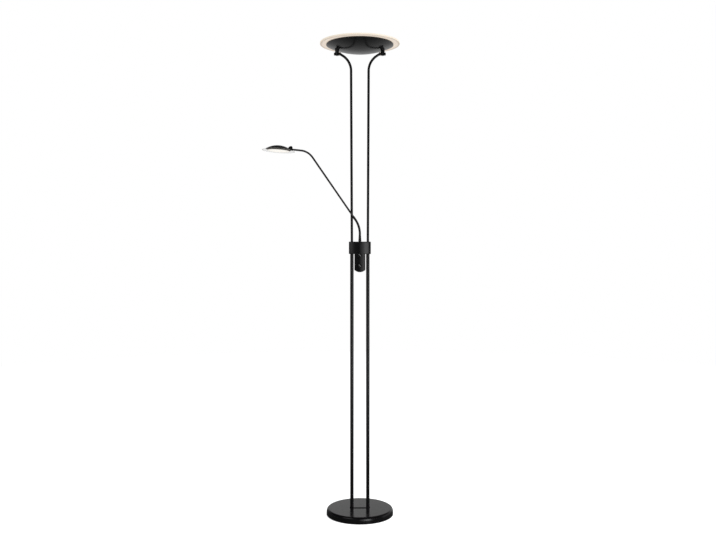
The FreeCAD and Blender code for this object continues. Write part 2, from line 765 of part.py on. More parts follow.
def neck_rib(distance):
    start, end = along(distance, RIB_WIDTH / 2.0, RIB_WIDTH / 2.0)
    return cylinder(NECK_RADIUS, start, end)


def make_arm_collar():
    """Cone that carries the neck; its top holds the first ball."""
    height = NECK_START_Z - 1.0 - COLLAR_BASE_Z
    cone = Part.makeCone(COLLAR_BASE_RADIUS, NECK_RADIUS, height, UP * COLLAR_BASE_Z, UP)
    joint, _ = neck_place(0)
    cone = cone.cut(Part.makeSphere(NECK_BALL_RADIUS + NECK_SOCKET_GAP, joint))
    cone = cone.cut(cylinder(SWIVEL_STUD_RADIUS, UP * (COLLAR_BASE_Z - 1), UP * (COLLAR_BASE_Z + 12)))
    return cone.cut(cylinder(NECK_BORE_RADIUS, UP * COLLAR_BASE_Z, UP * NECK_START_Z))


def make_neck_link(index):
    """Ribbed length of neck with a ball at its foot and a socket at its top."""
    foot = index * NECK_LINK_LENGTH
    top = foot + NECK_LINK_LENGTH
    half_groove = (NECK_PITCH - RIB_WIDTH) / 2.0
    stations = [foot + NECK_PITCH * (step + 0.5) for step in range(RIBS_PER_LINK)]
    link = neck_rib(stations[0])
    for station in stations[1:]:
        link = link.fuse(neck_rib(station))
    for station in stations[:-1]:
        start, end = along(station + NECK_PITCH / 2.0, half_groove + 0.3, half_groove + 0.3)
        link = link.fuse(cylinder(NECK_CORE_RADIUS, start, end))
    ball_centre, _ = neck_place(foot)
    neck_start, neck_end = along(foot, 0.0, half_groove + 1.0)
    link = link.fuse(cylinder(2.4, neck_start, neck_end))
    socket_centre, _ = neck_place(top)
    link = link.cut(Part.makeSphere(NECK_BALL_RADIUS + NECK_SOCKET_GAP, socket_centre))
    link = link.fuse(Part.makeSphere(NECK_BALL_RADIUS, ball_centre))
    through = (socket_centre - ball_centre).normalize() * (2 * NECK_BALL_RADIUS)
    return link.cut(cylinder(NECK_BORE_RADIUS, ball_centre - through, socket_centre + through))


def arm_frame():
    """Where the neck ends, and the arm tube's two corner points and its end."""
    ferrule_start, heading = neck_place(NECK_LINKS * NECK_LINK_LENGTH)
    run = (ARM_CORNER_REACH - ferrule_start.dot(arm_outward())) / heading.dot(arm_outward())
    top_corner = ferrule_start + heading * run
    tube_end = top_corner + arm_direction(ARM_END_ANGLE) * ARM_END_RUN
    return ferrule_start, heading, top_corner, tube_end


def make_neck_ferrule():
    """End sleeve of the neck, with the last ball and the arm tube's socket."""
    start, heading, _, _ = arm_frame()
    half_groove = (NECK_PITCH - RIB_WIDTH) / 2.0
    body = cylinder(NECK_RADIUS, start + heading * half_groove, start + heading * (FERRULE_LENGTH + 3.0))
    body = body.fuse(cylinder(2.4, start, start + heading * 2.0))
    body = body.fuse(Part.makeSphere(NECK_BALL_RADIUS, start))
    socket_start = start + heading * (FERRULE_LENGTH + 3.0 - TUBE_IN_FERRULE)
    body = body.cut(cylinder(ARM_TUBE_RADIUS, socket_start, socket_start + heading * 20))
    return body.cut(cylinder(NECK_BORE_RADIUS, start - heading * 4, start + heading * 20))


def arm_line(end_cut=0.0):
    start, heading, top_corner, tube_end = arm_frame()
    tube_start = start + heading * (FERRULE_LENGTH + 3.0 - TUBE_IN_FERRULE)
    stop = tube_end - arm_direction(ARM_END_ANGLE) * end_cut
    return centre_line([tube_start, top_corner, stop], [ARM_TOP_BEND_RADIUS])


def make_arm_tube():
    line = arm_line()
    bar = swept(line, ARM_TUBE_RADIUS)
    return bar.cut(swept(line, ARM_TUBE_RADIUS - 0.8))


def make_reading_lead():
    """Lead inside the arm tube, up to the knuckle's shank."""
    return swept(arm_line(end_cut=18.0), 1.25)


# The reading head, drawn in its own frame: origin under the glass's middle,
# local X towards the arm, local Z up through the dome, local -Y towards the viewer

HEAD_MIDDLE_REACH = 319.6
HEAD_MIDDLE_Z = 1374.7
PIVOT_LOCAL = Vector(44.0, 0, 15.5)
READING_GLASS_THICKNESS = 5.0
SHELL_WALL = 1.4
CHEEK_INNER = 2.7
CHEEK_OUTER = 5.2
KNUCKLE_HALF_WIDTH = 2.4
CLAMP_SHANK_RADIUS = 2.0
CLAMP_KNOB_RADIUS = 6.0


def head_placement():
    tilt = math.radians(READING_TILT)
    towards_arm = arm_outward() * -math.cos(tilt) - UP * math.sin(tilt)
    upward = arm_outward() * -math.sin(tilt) + UP * math.cos(tilt)
    back = upward.cross(towards_arm)
    middle = arm_point(HEAD_MIDDLE_REACH, HEAD_MIDDLE_Z)
    matrix = FreeCAD.Matrix(
        towards_arm.x, back.x, upward.x, middle.x,
        towards_arm.y, back.y, upward.y, middle.y,
        towards_arm.z, back.z, upward.z, middle.z,
        0, 0, 0, 1,
    )
    return FreeCAD.Placement(matrix)


def on_head(shape):
    """Put a piece drawn in the head's own frame in its place on the lamp."""
    placed = shape.copy()
    placed.Placement = head_placement().multiply(placed.Placement)
    return placed


def dome_radius():
    return (READING_SHELL_RADIUS ** 2 + READING_SHELL_HEIGHT ** 2) / (2 * READING_SHELL_HEIGHT)


def dome_centre():
    return Vector(0, 0, READING_GLASS_THICKNESS + READING_SHELL_HEIGHT - dome_radius())


def cap(radius, floor_z):
    """Part of the dome's sphere above a level."""
    sphere = Part.makeSphere(radius, dome_centre())
    return sphere.common(Part.makeBox(200, 200, 100, Vector(-100, -100, floor_z)))


def make_reading_shell():
    """Cast dome with the two cheeks that hold the knuckle."""
    floor_z = READING_GLASS_THICKNESS
    shell = cap(dome_radius(), floor_z)
    lug_base_z = floor_z + 1.0
    cheeks = []
    for side in (-1, 1):
        inner = side * CHEEK_INNER
        outer = side * CHEEK_OUTER
        low_y = min(inner, outer)
        width = CHEEK_OUTER - CHEEK_INNER
        disc = cylinder(
            6.0,
            Vector(PIVOT_LOCAL.x, low_y, PIVOT_LOCAL.z),
            Vector(PIVOT_LOCAL.x, low_y + width, PIVOT_LOCAL.z),
        )
        web_corners = [
            Vector(34.0, low_y, lug_base_z),
            Vector(46.0, low_y, lug_base_z),
            Vector(49.6, low_y, PIVOT_LOCAL.z - 2.1),
            Vector(39.6, low_y, PIVOT_LOCAL.z + 4.1),
        ]
        web = Part.Face(Part.makePolygon(web_corners + [web_corners[0]])).extrude(Vector(0, width, 0))
        cheeks.append(disc.fuse(web))
    for cheek in cheeks:
        shell = shell.fuse(cheek)
    shell = shell.cut(cap(dome_radius() - SHELL_WALL, floor_z - 1.0))
    front = Vector(PIVOT_LOCAL.x, -20, PIVOT_LOCAL.z)
    back = Vector(PIVOT_LOCAL.x, CHEEK_OUTER - 0.6, PIVOT_LOCAL.z)
    return on_head(shell.cut(cylinder(CLAMP_SHANK_RADIUS + RUNNING_FIT, front, back)))


def make_reading_glass():
    thick = READING_GLASS_THICKNESS
    glass = Part.makeCylinder(READING_GLASS_RADIUS, thick)
    rims = [edge for edge in glass.Edges if edge.BoundBox.ZLength < 0.01]
    return on_head(glass.makeChamfer(0.5, rims))


def make_reading_glass_ring():
    """Thin ring bonded to the glass, inside the shell."""
    base = Vector(0, 0, READING_GLASS_THICKNESS)
    return on_head(sleeve(42.5, 41.0, base, base + UP * 1.4))


def make_reading_led_board():
    return on_head(Part.makeCylinder(34.0, 1.6, Vector(0, 0, 8.0)))


def make_reading_heat_sink():
    disc = Part.makeCylinder(27.0, 4.4, Vector(0, 0, 9.6))
    for x, y, _ in ring_of(8, 17.0):
        disc = disc.cut(Part.makeCylinder(3.5, 3.0, Vector(x, y, 11.2)))
    return on_head(disc)


def pivot_point():
    return head_placement().multVec(PIVOT_LOCAL)


def make_head_knuckle():
    """Eye between the cheeks, with a shank that turns in the arm tube's end."""
    _, _, _, tube_end = arm_frame()
    heading = arm_direction(ARM_END_ANGLE)
    side = arm_side()
    pivot = pivot_point()
    shank_radius = ARM_TUBE_RADIUS - 0.8 - RUNNING_FIT
    shank = cylinder(shank_radius, tube_end - heading * 16, tube_end + heading * 2)
    collar = cylinder(4.2, tube_end + heading * PART_GAP, tube_end + heading * 3.4)
    eye = cylinder(EYE_RADIUS, pivot - side * KNUCKLE_HALF_WIDTH, pivot + side * KNUCKLE_HALF_WIDTH)
    root = tube_end + heading * 2.2
    across = UP * 4.0
    towards = (pivot - root).normalize()
    normal = side.cross(towards)
    web_corners = [
        root - across,
        root + across,
        pivot + normal * 5.4,
        pivot - normal * 5.4,
    ]
    web = Part.Face(Part.makePolygon(order_loop(web_corners) + [order_loop(web_corners)[0]]))
    web = web.extrude(side * (2 * KNUCKLE_HALF_WIDTH))
    web.translate(side * -KNUCKLE_HALF_WIDTH)
    knuckle = collar.fuse(shank).fuse(web).fuse(eye).removeSplitter()
    bore = cylinder(CLAMP_SHANK_RADIUS + RUNNING_FIT, pivot - side * 10, pivot + side * 10)
    return knuckle.cut(bore).cut(cylinder(1.1, tube_end - heading * 20, tube_end + heading * 3.5))


def order_loop(corners):
    """Sort coplanar corners round their middle, so that they make a simple outline."""
    middle = Vector(0, 0, 0)
    for corner in corners:
        middle = middle + corner * (1.0 / len(corners))
    outward = arm_outward()

    def bearing(corner):
        offset = corner - middle
        return math.atan2(offset.z, offset.dot(outward))

    return sorted(corners, key=bearing)


def clamp_knob(origin, axis, shank_radius, shank_length, knob_radius, knob_length):
    """Thumb screw along an axis: origin is where its knob's back face lies."""
    knob = Part.makeCylinder(knob_radius, knob_length)
    top = [edge for edge in knob.Edges if edge.BoundBox.ZLength < 0.01]
    knob = knob.makeFillet(0.8, top)
    for x, y, _ in ring_of(12, knob_radius + 0.45):
        knob = knob.cut(Part.makeCylinder(0.9, knob_length + 2, Vector(x, y, -1)))
    shank = Part.makeCylinder(shank_radius, shank_length + 0.5, Vector(0, 0, -shank_length))
    piece = knob.fuse(shank)
    piece.Placement = FreeCAD.Placement(origin, FreeCAD.Rotation(UP, axis))
    return piece


def make_reading_clamp_knob():
    side = arm_side()
    pivot = pivot_point()
    back = pivot + side * (CHEEK_OUTER + PART_GAP)
    return clamp_knob(back, side, CLAMP_SHANK_RADIUS, 2 * CHEEK_OUTER - 0.7, CLAMP_KNOB_RADIUS, 6.0)


# The uplighter

GLASS_BOTTOM_Z = TOTAL_HEIGHT - UPLIGHT_GLASS_THICKNESS
BAND_BOTTOM_Z = GLASS_BOTTOM_Z - RIM_BAND
BOWL_BOTTOM_Z = BAND_BOTTOM_Z - BOWL_DEPTH
BOWL_WALL = 1.2
BOWL_SPHERE_RADIUS = (BOWL_RADIUS ** 2 + BOWL_DEPTH ** 2) / (2 * BOWL_DEPTH)
POST_X = 87.2
POST_RADIUS = 7.7
POST_EYE_HALF_WIDTH = 8.0
POST_END_DROP = 6.5
POST_SEAT_Z = 1773.0
POST_NUT_Z = 1782.2
LED_PLATE_Z = 1787.0
LED_PLATE_RADIUS = 104.0
PLATE_STUD_REACH = 78.0
GLASS_RING_RADIUS = 122.0


def bowl_cap(inset):
    """Spherical cap of the bowl, closed by a straight band up to the rim."""
    middle = Vector(0, 0, BOWL_BOTTOM_Z + BOWL_SPHERE_RADIUS)
    ball = Part.makeSphere(BOWL_SPHERE_RADIUS - inset, middle)
    drum = Part.makeCylinder(BOWL_RADIUS - inset, 60, Vector(0, 0, BOWL_BOTTOM_Z - 5))
    below = Part.makeBox(600, 600, 100, Vector(-300, -300, BAND_BOTTOM_Z - 100))
    lower = ball.common(below).common(drum)
    band = Part.makeCylinder(BOWL_RADIUS - inset, RIM_BAND, Vector(0, 0, BAND_BOTTOM_Z))
    return lower.fuse(band).removeSplitter()


def post_places():
    return [Vector(-POST_X, 0, 0), Vector(POST_X, 0, 0)]


def stud_places():
    return ring_of(3, PLATE_STUD_REACH, 90.0)


def make_uplight_bowl():
    """Spun bowl with a seat for each post and three welded studs inside."""
    full = bowl_cap(0.0)
    bowl = full.cut(bowl_cap(BOWL_WALL))
    for place in post_places():
        seat = cylinder(8.0, place + UP * POST_SEAT_Z, place + UP * POST_NUT_Z)
        bowl = bowl.fuse(seat)
    for x, y, _ in stud_places():
        stud = cylinder(2.0, Vector(x, y, BOWL_BOTTOM_Z), Vector(x, y, LED_PLATE_Z + 5.4))
        spacer = cylinder(4.0, Vector(x, y, BOWL_BOTTOM_Z), Vector(x, y, LED_PLATE_Z))
        bowl = bowl.fuse(stud.fuse(spacer).common(inside_of_bowl()))
    for place in post_places():
        bowl = bowl.cut(cylinder(4.0, place + UP * 1700, place + UP * 1800))
    for x, y, _ in ring_of(3, 1.0, 30.0):
        outward = Vector(x, y, 0)
        start = outward * (GLASS_RING_RADIUS - 2.0) + UP * (BAND_BOTTOM_Z + 1.5)
        bowl = bowl.cut(cylinder(1.25, start, start + outward * 12))
    return bowl.removeSplitter()


def inside_of_bowl():
    """Everything above the middle of the bowl's wall."""
    return bowl_cap(BOWL_WALL / 2.0)


def make_hinge_posts():
    """Stout round posts under the bowl, with flat faces and a cross bore at the tilt axis."""
    height = hinge_z()
    posts = []
    for place in post_places():
        centre = place + UP * height
        shaft = turned([
            (0, -POST_END_DROP),
            (POST_RADIUS - 3.0, -POST_END_DROP),
            (POST_RADIUS - 0.8, 1.0 - POST_END_DROP),
            (POST_RADIUS, 2.0 - POST_END_DROP),
            (POST_RADIUS, POST_SEAT_Z - height),
            (0, POST_SEAT_Z - height),
        ], centre)
        end = cylinder(4.0, place + UP * POST_SEAT_Z, place + UP * (POST_NUT_Z + 4.4))
        half = Vector(POST_EYE_HALF_WIDTH, 0, 0)
        eye = cylinder(EYE_RADIUS, centre - half, centre + half)
        bore = cylinder(2.5 + RUNNING_FIT, centre - half * 2, centre + half * 2)
        wire_way = cylinder(1.8, place + UP * (height + 7.5), place + UP * 1800)
        posts.append(shaft.fuse(eye).fuse(end).removeSplitter().cut(bore).cut(wire_way))
    return posts


def make_post_nuts():
    nuts = []
    for place in post_places():
        nut = hexagon_bar(13.0, place + UP * POST_NUT_Z, place + UP * (POST_NUT_Z + 4.0))
        nuts.append(nut.cut(cylinder(4.0, place + UP * 1700, place + UP * 1800)))
    return nuts


def make_led_plate():
    """Aluminium plate that carries the light board and spreads its heat."""
    plate = Part.makeCylinder(LED_PLATE_RADIUS, 2.0, Vector(0, 0, LED_PLATE_Z))
    for x, y, _ in stud_places():
        plate = plate.cut(cylinder(2.0, Vector(x, y, 1700), Vector(x, y, 1800)))
    return plate.cut(Part.makeCylinder(4.0, 10, Vector(0, 30, LED_PLATE_Z - 2)))


def make_led_board():
    board = Part.makeCylinder(65.0, 1.6, Vector(0, 0, LED_PLATE_Z + 2.0))
    return board.cut(Part.makeCylinder(4.0, 10, Vector(0, 30, LED_PLATE_Z)))


def make_led_driver():
    """Driver box that hangs under the plate inside the bowl."""
    top = LED_PLATE_Z
    box = Part.makeBox(92, 36, 14.5, Vector(-46, -18, top - 14.5))
    upright = [edge for edge in box.Edges if edge.BoundBox.ZLength > 14]
    return box.makeFillet(3.0, upright)


def make_plate_nuts():
    nuts = []
    base_z = LED_PLATE_Z + 2.0
    for x, y, _ in stud_places():
        nut = hexagon_bar(7.0, Vector(x, y, base_z), Vector(x, y, base_z + 3.2))
        nuts.append(nut.cut(cylinder(2.0, Vector(x, y, 1700), Vector(x, y, 1800))))
    return nuts


def make_uplight_glass():
    base = Vector(0, 0, GLASS_BOTTOM_Z)
    glass = Part.makeCylinder(UPLIGHT_GLASS_RADIUS, UPLIGHT_GLASS_THICKNESS, base)
    rims = [edge for edge in glass.Edges if edge.BoundBox.ZLength < 0.01]
    return glass.makeChamfer(0.6, rims)


def make_glass_ring():
    """Ring bonded under the glass, held inside the bowl by the set screws."""
    base = UP * (BAND_BOTTOM_Z - 0.2)
    ring = sleeve(GLASS_RING_RADIUS, GLASS_RING_RADIUS - 5.0, base, UP * GLASS_BOTTOM_Z)
    for x, y, _ in ring_of(3, 1.0, 30.0):
        outward = Vector(x, y, 0)
        start = outward * (GLASS_RING_RADIUS - 2.0) + UP * (BAND_BOTTOM_Z + 1.5)
        ring = ring.cut(cylinder(1.25, start, start + outward * 12))
    return ring


def make_glass_ring_screws():
    screws = []
    for x, y, _ in ring_of(3, 1.0, 30.0):
        outward = Vector(x, y, 0)
        start = outward * (GLASS_RING_RADIUS - 2.0) + UP * (BAND_BOTTOM_Z + 1.5)
        reach = BOWL_RADIUS - (GLASS_RING_RADIUS - 2.0) - 0.2
        screws.append(cylinder(1.25, start, start + outward * reach))
    return screws


def make_hinge_washers():
    """Fibre washers between each pole eye and its post."""
    height = hinge_z()
    inner_face = Vector(END_EYE_OUTER_X, 0, height)
    washer = sleeve(5.6, 2.7, inner_face, inner_face + Vector(0.7, 0, 0))
    return [mirrored(washer, side) for side in (-1, 1)]


def make_clamp_knob(side):
    """Thumb screw through a post's eye into the pole's end eye."""
    height = hinge_z()
    knob_back = POST_X + POST_EYE_HALF_WIDTH + PART_GAP
    shank_length = knob_back - (END_EYE_INNER_X + 1.6)
    return clamp_knob(
        Vector(side * knob_back, 0, height), Vector(side, 0, 0), 2.5, shank_length, 5.5, 3.6
    )


def main():
    os.makedirs("parts", exist_ok=True)
    save("base_cover", make_base_cover())
    save("base_weight", make_base_weight())
    save("pad_board", make_pad_board())
    save("floor_pad", make_floor_pad())
    save("foot_plate", make_foot_plate())
    save("foot_studs", make_foot_studs())
    save("foot_nuts", make_foot_nuts())
    save("cord_bush", make_cord_bush())
    for name, side in (("left", -1), ("right", 1)):
        save("pole_lower_" + name, make_lower_pole(side))
        save("pole_upper_" + name, make_upper_pole(side))
        save("clamp_knob_" + name, make_clamp_knob(side))
    save("pole_couplers", make_pole_couplers())
    save("pole_end_eyes", make_pole_end_eyes())
    save("hinge_washers", make_hinge_washers())
    save("housing_front", make_housing_front())
    save("housing_rear", make_housing_rear())
    save("housing_screws", make_housing_screws())
    save("dimmer_board", make_dimmer_board())
    save("dimmer_pots", make_dimmer_pots())
    save("pot_nuts", make_pot_nuts())
    for name, z in DIMMER_Z.items():
        save("dimmer_shaft_" + name, make_dimmer_shaft(z))
        save("dimmer_knob_" + name, make_dimmer_knob(z))
    save("terminal_block", make_terminal_block())
    save("uplight_lead", make_uplight_lead())
    save("swivel_bush", make_swivel_bush())
    save("swivel_stud", make_swivel_stud())
    save("swivel_washer", make_swivel_washer())
    save("swivel_nut", make_swivel_nut())
    save("arm_collar", make_arm_collar())
    for index in range(NECK_LINKS):
        save("neck_link_%d" % (index + 1), make_neck_link(index))
    save("neck_ferrule", make_neck_ferrule())
    save("arm_tube", make_arm_tube())
    save("reading_lead", make_reading_lead())
    save("head_knuckle", make_head_knuckle())
    save("reading_shell", make_reading_shell())
    save("reading_glass", make_reading_glass())
    save("reading_glass_ring", make_reading_glass_ring())
    save("reading_led_board", make_reading_led_board())
    save("reading_heat_sink", make_reading_heat_sink())
    save("reading_clamp_knob", make_reading_clamp_knob())
    save("uplight_bowl", make_uplight_bowl())
    save("hinge_posts", make_hinge_posts())
    save("post_nuts", make_post_nuts())
    save("led_plate", make_led_plate())
    save("led_board", make_led_board())
    save("led_driver", make_led_driver())
    save("plate_nuts", make_plate_nuts())
    save("uplight_glass", make_uplight_glass())
    save("glass_ring", make_glass_ring())
    save("glass_ring_screws", make_glass_ring_screws())


main()
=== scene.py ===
import json
import math

import bmesh
import bpy
from mathutils import Matrix, Vector


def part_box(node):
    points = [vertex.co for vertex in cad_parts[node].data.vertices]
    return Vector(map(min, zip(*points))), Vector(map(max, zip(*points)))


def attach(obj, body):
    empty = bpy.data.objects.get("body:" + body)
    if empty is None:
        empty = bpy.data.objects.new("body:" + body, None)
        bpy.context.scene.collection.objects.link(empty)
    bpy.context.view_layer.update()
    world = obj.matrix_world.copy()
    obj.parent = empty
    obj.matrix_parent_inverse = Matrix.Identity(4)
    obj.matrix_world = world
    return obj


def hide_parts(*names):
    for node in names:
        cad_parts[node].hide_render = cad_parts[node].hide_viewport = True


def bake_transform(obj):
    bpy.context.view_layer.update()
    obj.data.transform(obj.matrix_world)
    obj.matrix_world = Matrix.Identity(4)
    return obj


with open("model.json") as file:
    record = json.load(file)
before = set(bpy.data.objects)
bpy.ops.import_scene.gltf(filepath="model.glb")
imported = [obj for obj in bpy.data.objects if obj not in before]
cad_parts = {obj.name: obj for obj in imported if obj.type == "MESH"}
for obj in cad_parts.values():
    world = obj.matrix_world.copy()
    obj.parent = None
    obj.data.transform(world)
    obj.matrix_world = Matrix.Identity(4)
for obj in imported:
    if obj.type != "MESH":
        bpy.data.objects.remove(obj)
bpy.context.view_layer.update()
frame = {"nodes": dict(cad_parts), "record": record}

# Units: metres. The frame is the CAD's own: origin on the floor between the poles, +Z up, viewer at -Y.
MM = 0.001
BODY_OF = {
    node: body for body, nodes in frame["record"]["behaviour"]["bodies"].items() for node in nodes
}
SLOT_OF = {row["node"]: row["material_slot"] for row in frame["record"]["subparts"]}
UP = Vector((0, 0, 1))

# Main sizes, as in the CAD source; only the shoulder of the base is a little softer here.
BASE_RADIUS = 127.0 * MM
BASE_TOP_Z = 25.0 * MM
# Tangent arcs from the base's side to its top: radius in mm, and the two angles of its normal.
BASE_SHOULDER = [(30.0, 0.0, 20.0), (8.0, 20.0, 60.0), (8.0, 60.0, 90.0)]
COVER_WALL = 1.5 * MM
POLE_HALF_SPACING = 30.4 * MM
LOWER_POLE_RADIUS = 6.75 * MM
LOWER_POLE_MIDDLE_Z = 500.0 * MM
UPPER_POLE_RADIUS = 4.75 * MM
UPPER_POLE_FOOT_Z = 1012.0 * MM
UPPER_BEND_RADIUS = 69.0 * MM
UPPER_BEND_ANGLE = 57.0
UPPER_BEND_START = (33.5 * MM, 1693.0 * MM)
UPPER_POLE_END_X = 70.5 * MM
COLLAR_BASE_Z = 1040.8 * MM
NECK_START_Z = 1065.0 * MM
NECK_STRAIGHT = 4.0 * MM
NECK_BEND_RADIUS = 93.0 * MM
NECK_RADIUS = 4.5 * MM
NECK_PITCH = 3.25 * MM
NECK_GROOVE_DEPTH = 0.8 * MM
NECK_LINKS = 4
LINK_LENGTH = 16.25 * MM
ARM_AZIMUTH = 20.0
ARM_RISE_ANGLE = 53.6
ARM_TOP_REACH = 205.0 * MM
ARM_TOP_BEND_RADIUS = 60.0 * MM
ARM_END_RUN = 60.0 * MM
ARM_END_ANGLE = 3.5
ARM_TUBE_RADIUS = 3.5 * MM
GLASS_RADIUS = 152.5 * MM
GLASS_THICKNESS = 6.0 * MM
TOTAL_HEIGHT = 1800.0 * MM
BOWL_RADIUS = 128.5 * MM
BOWL_DEPTH = 28.0 * MM
BOWL_WALL = 1.2 * MM
RIM_BAND = 3.0 * MM
POST_X = 87.2 * MM
POST_EYE_HALF_WIDTH = 8.0 * MM
POST_SEAT_Z = 1773.0 * MM
KNOB_GAP = 0.3 * MM
KNOB_POINTER_ANGLE = 45.0
READING_GLASS_RADIUS = 61.0 * MM
READING_SHELL_RADIUS = 48.0 * MM
READING_SHELL_HEIGHT = 15.0 * MM
READING_GLASS_THICKNESS = 5.0 * MM
READING_SHELL_WALL = 1.4 * MM
READING_HEAD_REACH = 319.6 * MM
READING_HEAD_Z = 1374.7 * MM
READING_TILT = 3.8
# The tilt pivot, in the head's own frame.
PIVOT_X = 44.0 * MM
PIVOT_Z = 15.5 * MM


# Materials

BLACK = (0.003, 0.003, 0.0033)
# The plain finishes: colour, roughness, and what differs from the usual mottling and grain.
FINISHES = {
    "black_paint": (BLACK, 0.2, {"uneven": 0.03, "grain_scale": 700.0, "grain_depth": 0.004 * MM}),
    "black_paint_alloy": (
        BLACK, 0.24, {"uneven": 0.03, "grain_scale": 600.0, "grain_depth": 0.006 * MM},
    ),
    "black_metal": (
        BLACK, 0.2, {"uneven": 0.04, "grain_depth": 0.004 * MM, "stretch": (1.0, 1.0, 0.2)},
    ),
    "neck_metal": ((0.007, 0.007, 0.0075), 0.26, {"mottle": 0.2, "grain_depth": 0.004 * MM}),
    "black_screw": ((0.014, 0.014, 0.016), 0.3, {"metallic": 0.4, "grain_depth": 0.006 * MM}),
    "black_plastic": (BLACK, 0.15, {"uneven": 0.02, "grain_scale": 1200.0, "grain_depth": 0.003 * MM}),
    "knob_plastic": ((0.006, 0.006, 0.006), 0.17, {"uneven": 0.03, "grain_depth": 0.003 * MM}),
    # Pale grey of the pointer marks: partly the mark's own colour, partly a painted highlight along
    # each knob's crest.
    "pointer_and_painted_highlight": ((0.16, 0.16, 0.16), 0.4, {"mottle": 0.05, "grain_depth": 0.004 * MM}),
    "black_rubber": ((0.02, 0.02, 0.02), 0.6, {"mottle": 0.2, "grain_depth": 0.01 * MM}),
    "cast_iron": (
        (0.16, 0.16, 0.165), 0.6,
        {"metallic": 0.9, "mottle": 0.3, "grain_scale": 500.0, "grain_depth": 0.2 * MM},
    ),
    "fibre_board": ((0.22, 0.14, 0.08), 0.8, {"mottle": 0.3, "grain_depth": 0.1 * MM}),
    "white_plastic": ((0.78, 0.78, 0.75), 0.42, {"mottle": 0.04}),
    "lead_sheath": ((0.03, 0.03, 0.03), 0.5, {}),
}
# Shares of the reading glass's radius at which its lit middle ends and its clear rim begins.
LIT_MIDDLE = 0.68
CLEAR_RIM = 0.7
# Light of both glasses from the middle out: (share of the radius, colour).
UPLIGHT_GLOW = [
    (0.0, (0.82, 0.74, 0.6)), (0.62, (0.74, 0.65, 0.52)), (0.84, (0.6, 0.51, 0.42)),
    (0.94, (0.58, 0.49, 0.41)), (0.965, (0.42, 0.34, 0.27)), (0.99, (0.38, 0.31, 0.25)),
    (0.997, (0.66, 0.58, 0.47)),
]
READING_GLOW = [
    (0.0, (0.8, 0.78, 0.73)), (0.6, (0.74, 0.72, 0.67)), (LIT_MIDDLE, (0.5, 0.47, 0.42)),
    (CLEAR_RIM, (0.02, 0.019, 0.017)), (0.93, (0.02, 0.019, 0.017)), (0.985, (0.2, 0.19, 0.17)),
]
READING_OPACITY = [(LIT_MIDDLE, 1.0), (CLEAR_RIM, 0.2), (0.93, 0.22), (0.955, 0.6)]


def bare_material(name):
    """Material with nothing but its output."""
    made = bpy.data.materials.new(name)
    made.use_nodes = True
    tree = made.node_tree
    tree.nodes.clear()
    return made, tree, tree.nodes.new("ShaderNodeOutputMaterial")


def new_material(name):
    """Material with one principled shader."""
    made, tree, output = bare_material(name)
    shader = tree.nodes.new("ShaderNodeBsdfPrincipled")
    tree.links.new(shader.outputs["BSDF"], output.inputs["Surface"])
    return made, tree, shader


def object_space(tree, stretch=(1.0, 1.0, 1.0)):
    """Texture coordinates that stay with the piece, in metres."""
    coordinates = tree.nodes.new("ShaderNodeTexCoord")
    mapping = tree.nodes.new("ShaderNodeMapping")
    mapping.inputs["Scale"].default_value = stretch
    tree.links.new(coordinates.outputs["Object"], mapping.inputs["Vector"])
    return mapping.outputs["Vector"]


def noise(tree, place, scale, detail=3.0, roughness=0.55):
    node = tree.nodes.new("ShaderNodeTexNoise")
    node.inputs["Scale"].default_value = scale
    node.inputs["Detail"].default_value = detail
    node.inputs["Roughness"].default_value = roughness
    tree.links.new(place, node.inputs["Vector"])
    return node.outputs["Fac"]


def spread(tree, value, low, high, from_low=0.3, from_high=0.7):
    """Map a noise value to a range."""
    node = tree.nodes.new("ShaderNodeMapRange")
    node.inputs["From Min"].default_value = from_low
    node.inputs["From Max"].default_value = from_high
    node.inputs["To Min"].default_value = low
    node.inputs["To Max"].default_value = high
    tree.links.new(value, node.inputs["Value"])
    return node.outputs["Result"]


def shade_between(tree, value, first, second):
    """Colour between two colours by a value from 0 to 1."""
    node = tree.nodes.new("ShaderNodeMix")
    node.data_type = "RGBA"
    node.inputs["A"].default_value = (*first, 1.0)
    node.inputs["B"].default_value = (*second, 1.0)
    tree.links.new(value, node.inputs["Factor"])
    return node.outputs["Result"]


def bump(tree, height, distance):
    node = tree.nodes.new("ShaderNodeBump")
    node.inputs["Strength"].default_value = 1.0
    node.inputs["Distance"].default_value = distance
    tree.links.new(height, node.inputs["Height"])
    return node.outputs["Normal"]


def math_node(tree, operation, *values):
    node = tree.nodes.new("ShaderNodeMath")
    node.operation = operation
    for socket, value in zip(node.inputs, values):
        if isinstance(value, (int, float)):
            socket.default_value = value
        else:
            tree.links.new(value, socket)
    return node.outputs[0]


def finish(
    name,
    colour,
    roughness,
    metallic=0.0,
    mottle=0.12,
    mottle_scale=35.0,
    uneven=0.05,
    grain_scale=1400.0,
    grain_depth=0.02 * MM,
    stretch=(1.0, 1.0, 1.0),
):
    """A finish with soft colour mottling, uneven gloss and a fine surface grain."""
    made, tree, shader = new_material(name)
    place = object_space(tree, stretch)
    dark = tuple(part * (1.0 - mottle) for part in colour)
    light = tuple(min(1.0, part * (1.0 + mottle)) for part in colour)
    cloud = spread(tree, noise(tree, place, mottle_scale), 0.0, 1.0)
    tree.links.new(shade_between(tree, cloud, dark, light), shader.inputs["Base Color"])
    gloss = noise(tree, place, mottle_scale * 4.0, 4.0)
    gloss = spread(tree, gloss, roughness - uneven, roughness + uneven)
    tree.links.new(gloss, shader.inputs["Roughness"])
    fine = noise(tree, place, grain_scale, 2.0)
    tree.links.new(bump(tree, fine, grain_depth), shader.inputs["Normal"])
    shader.inputs["Metallic"].default_value = metallic
    return made


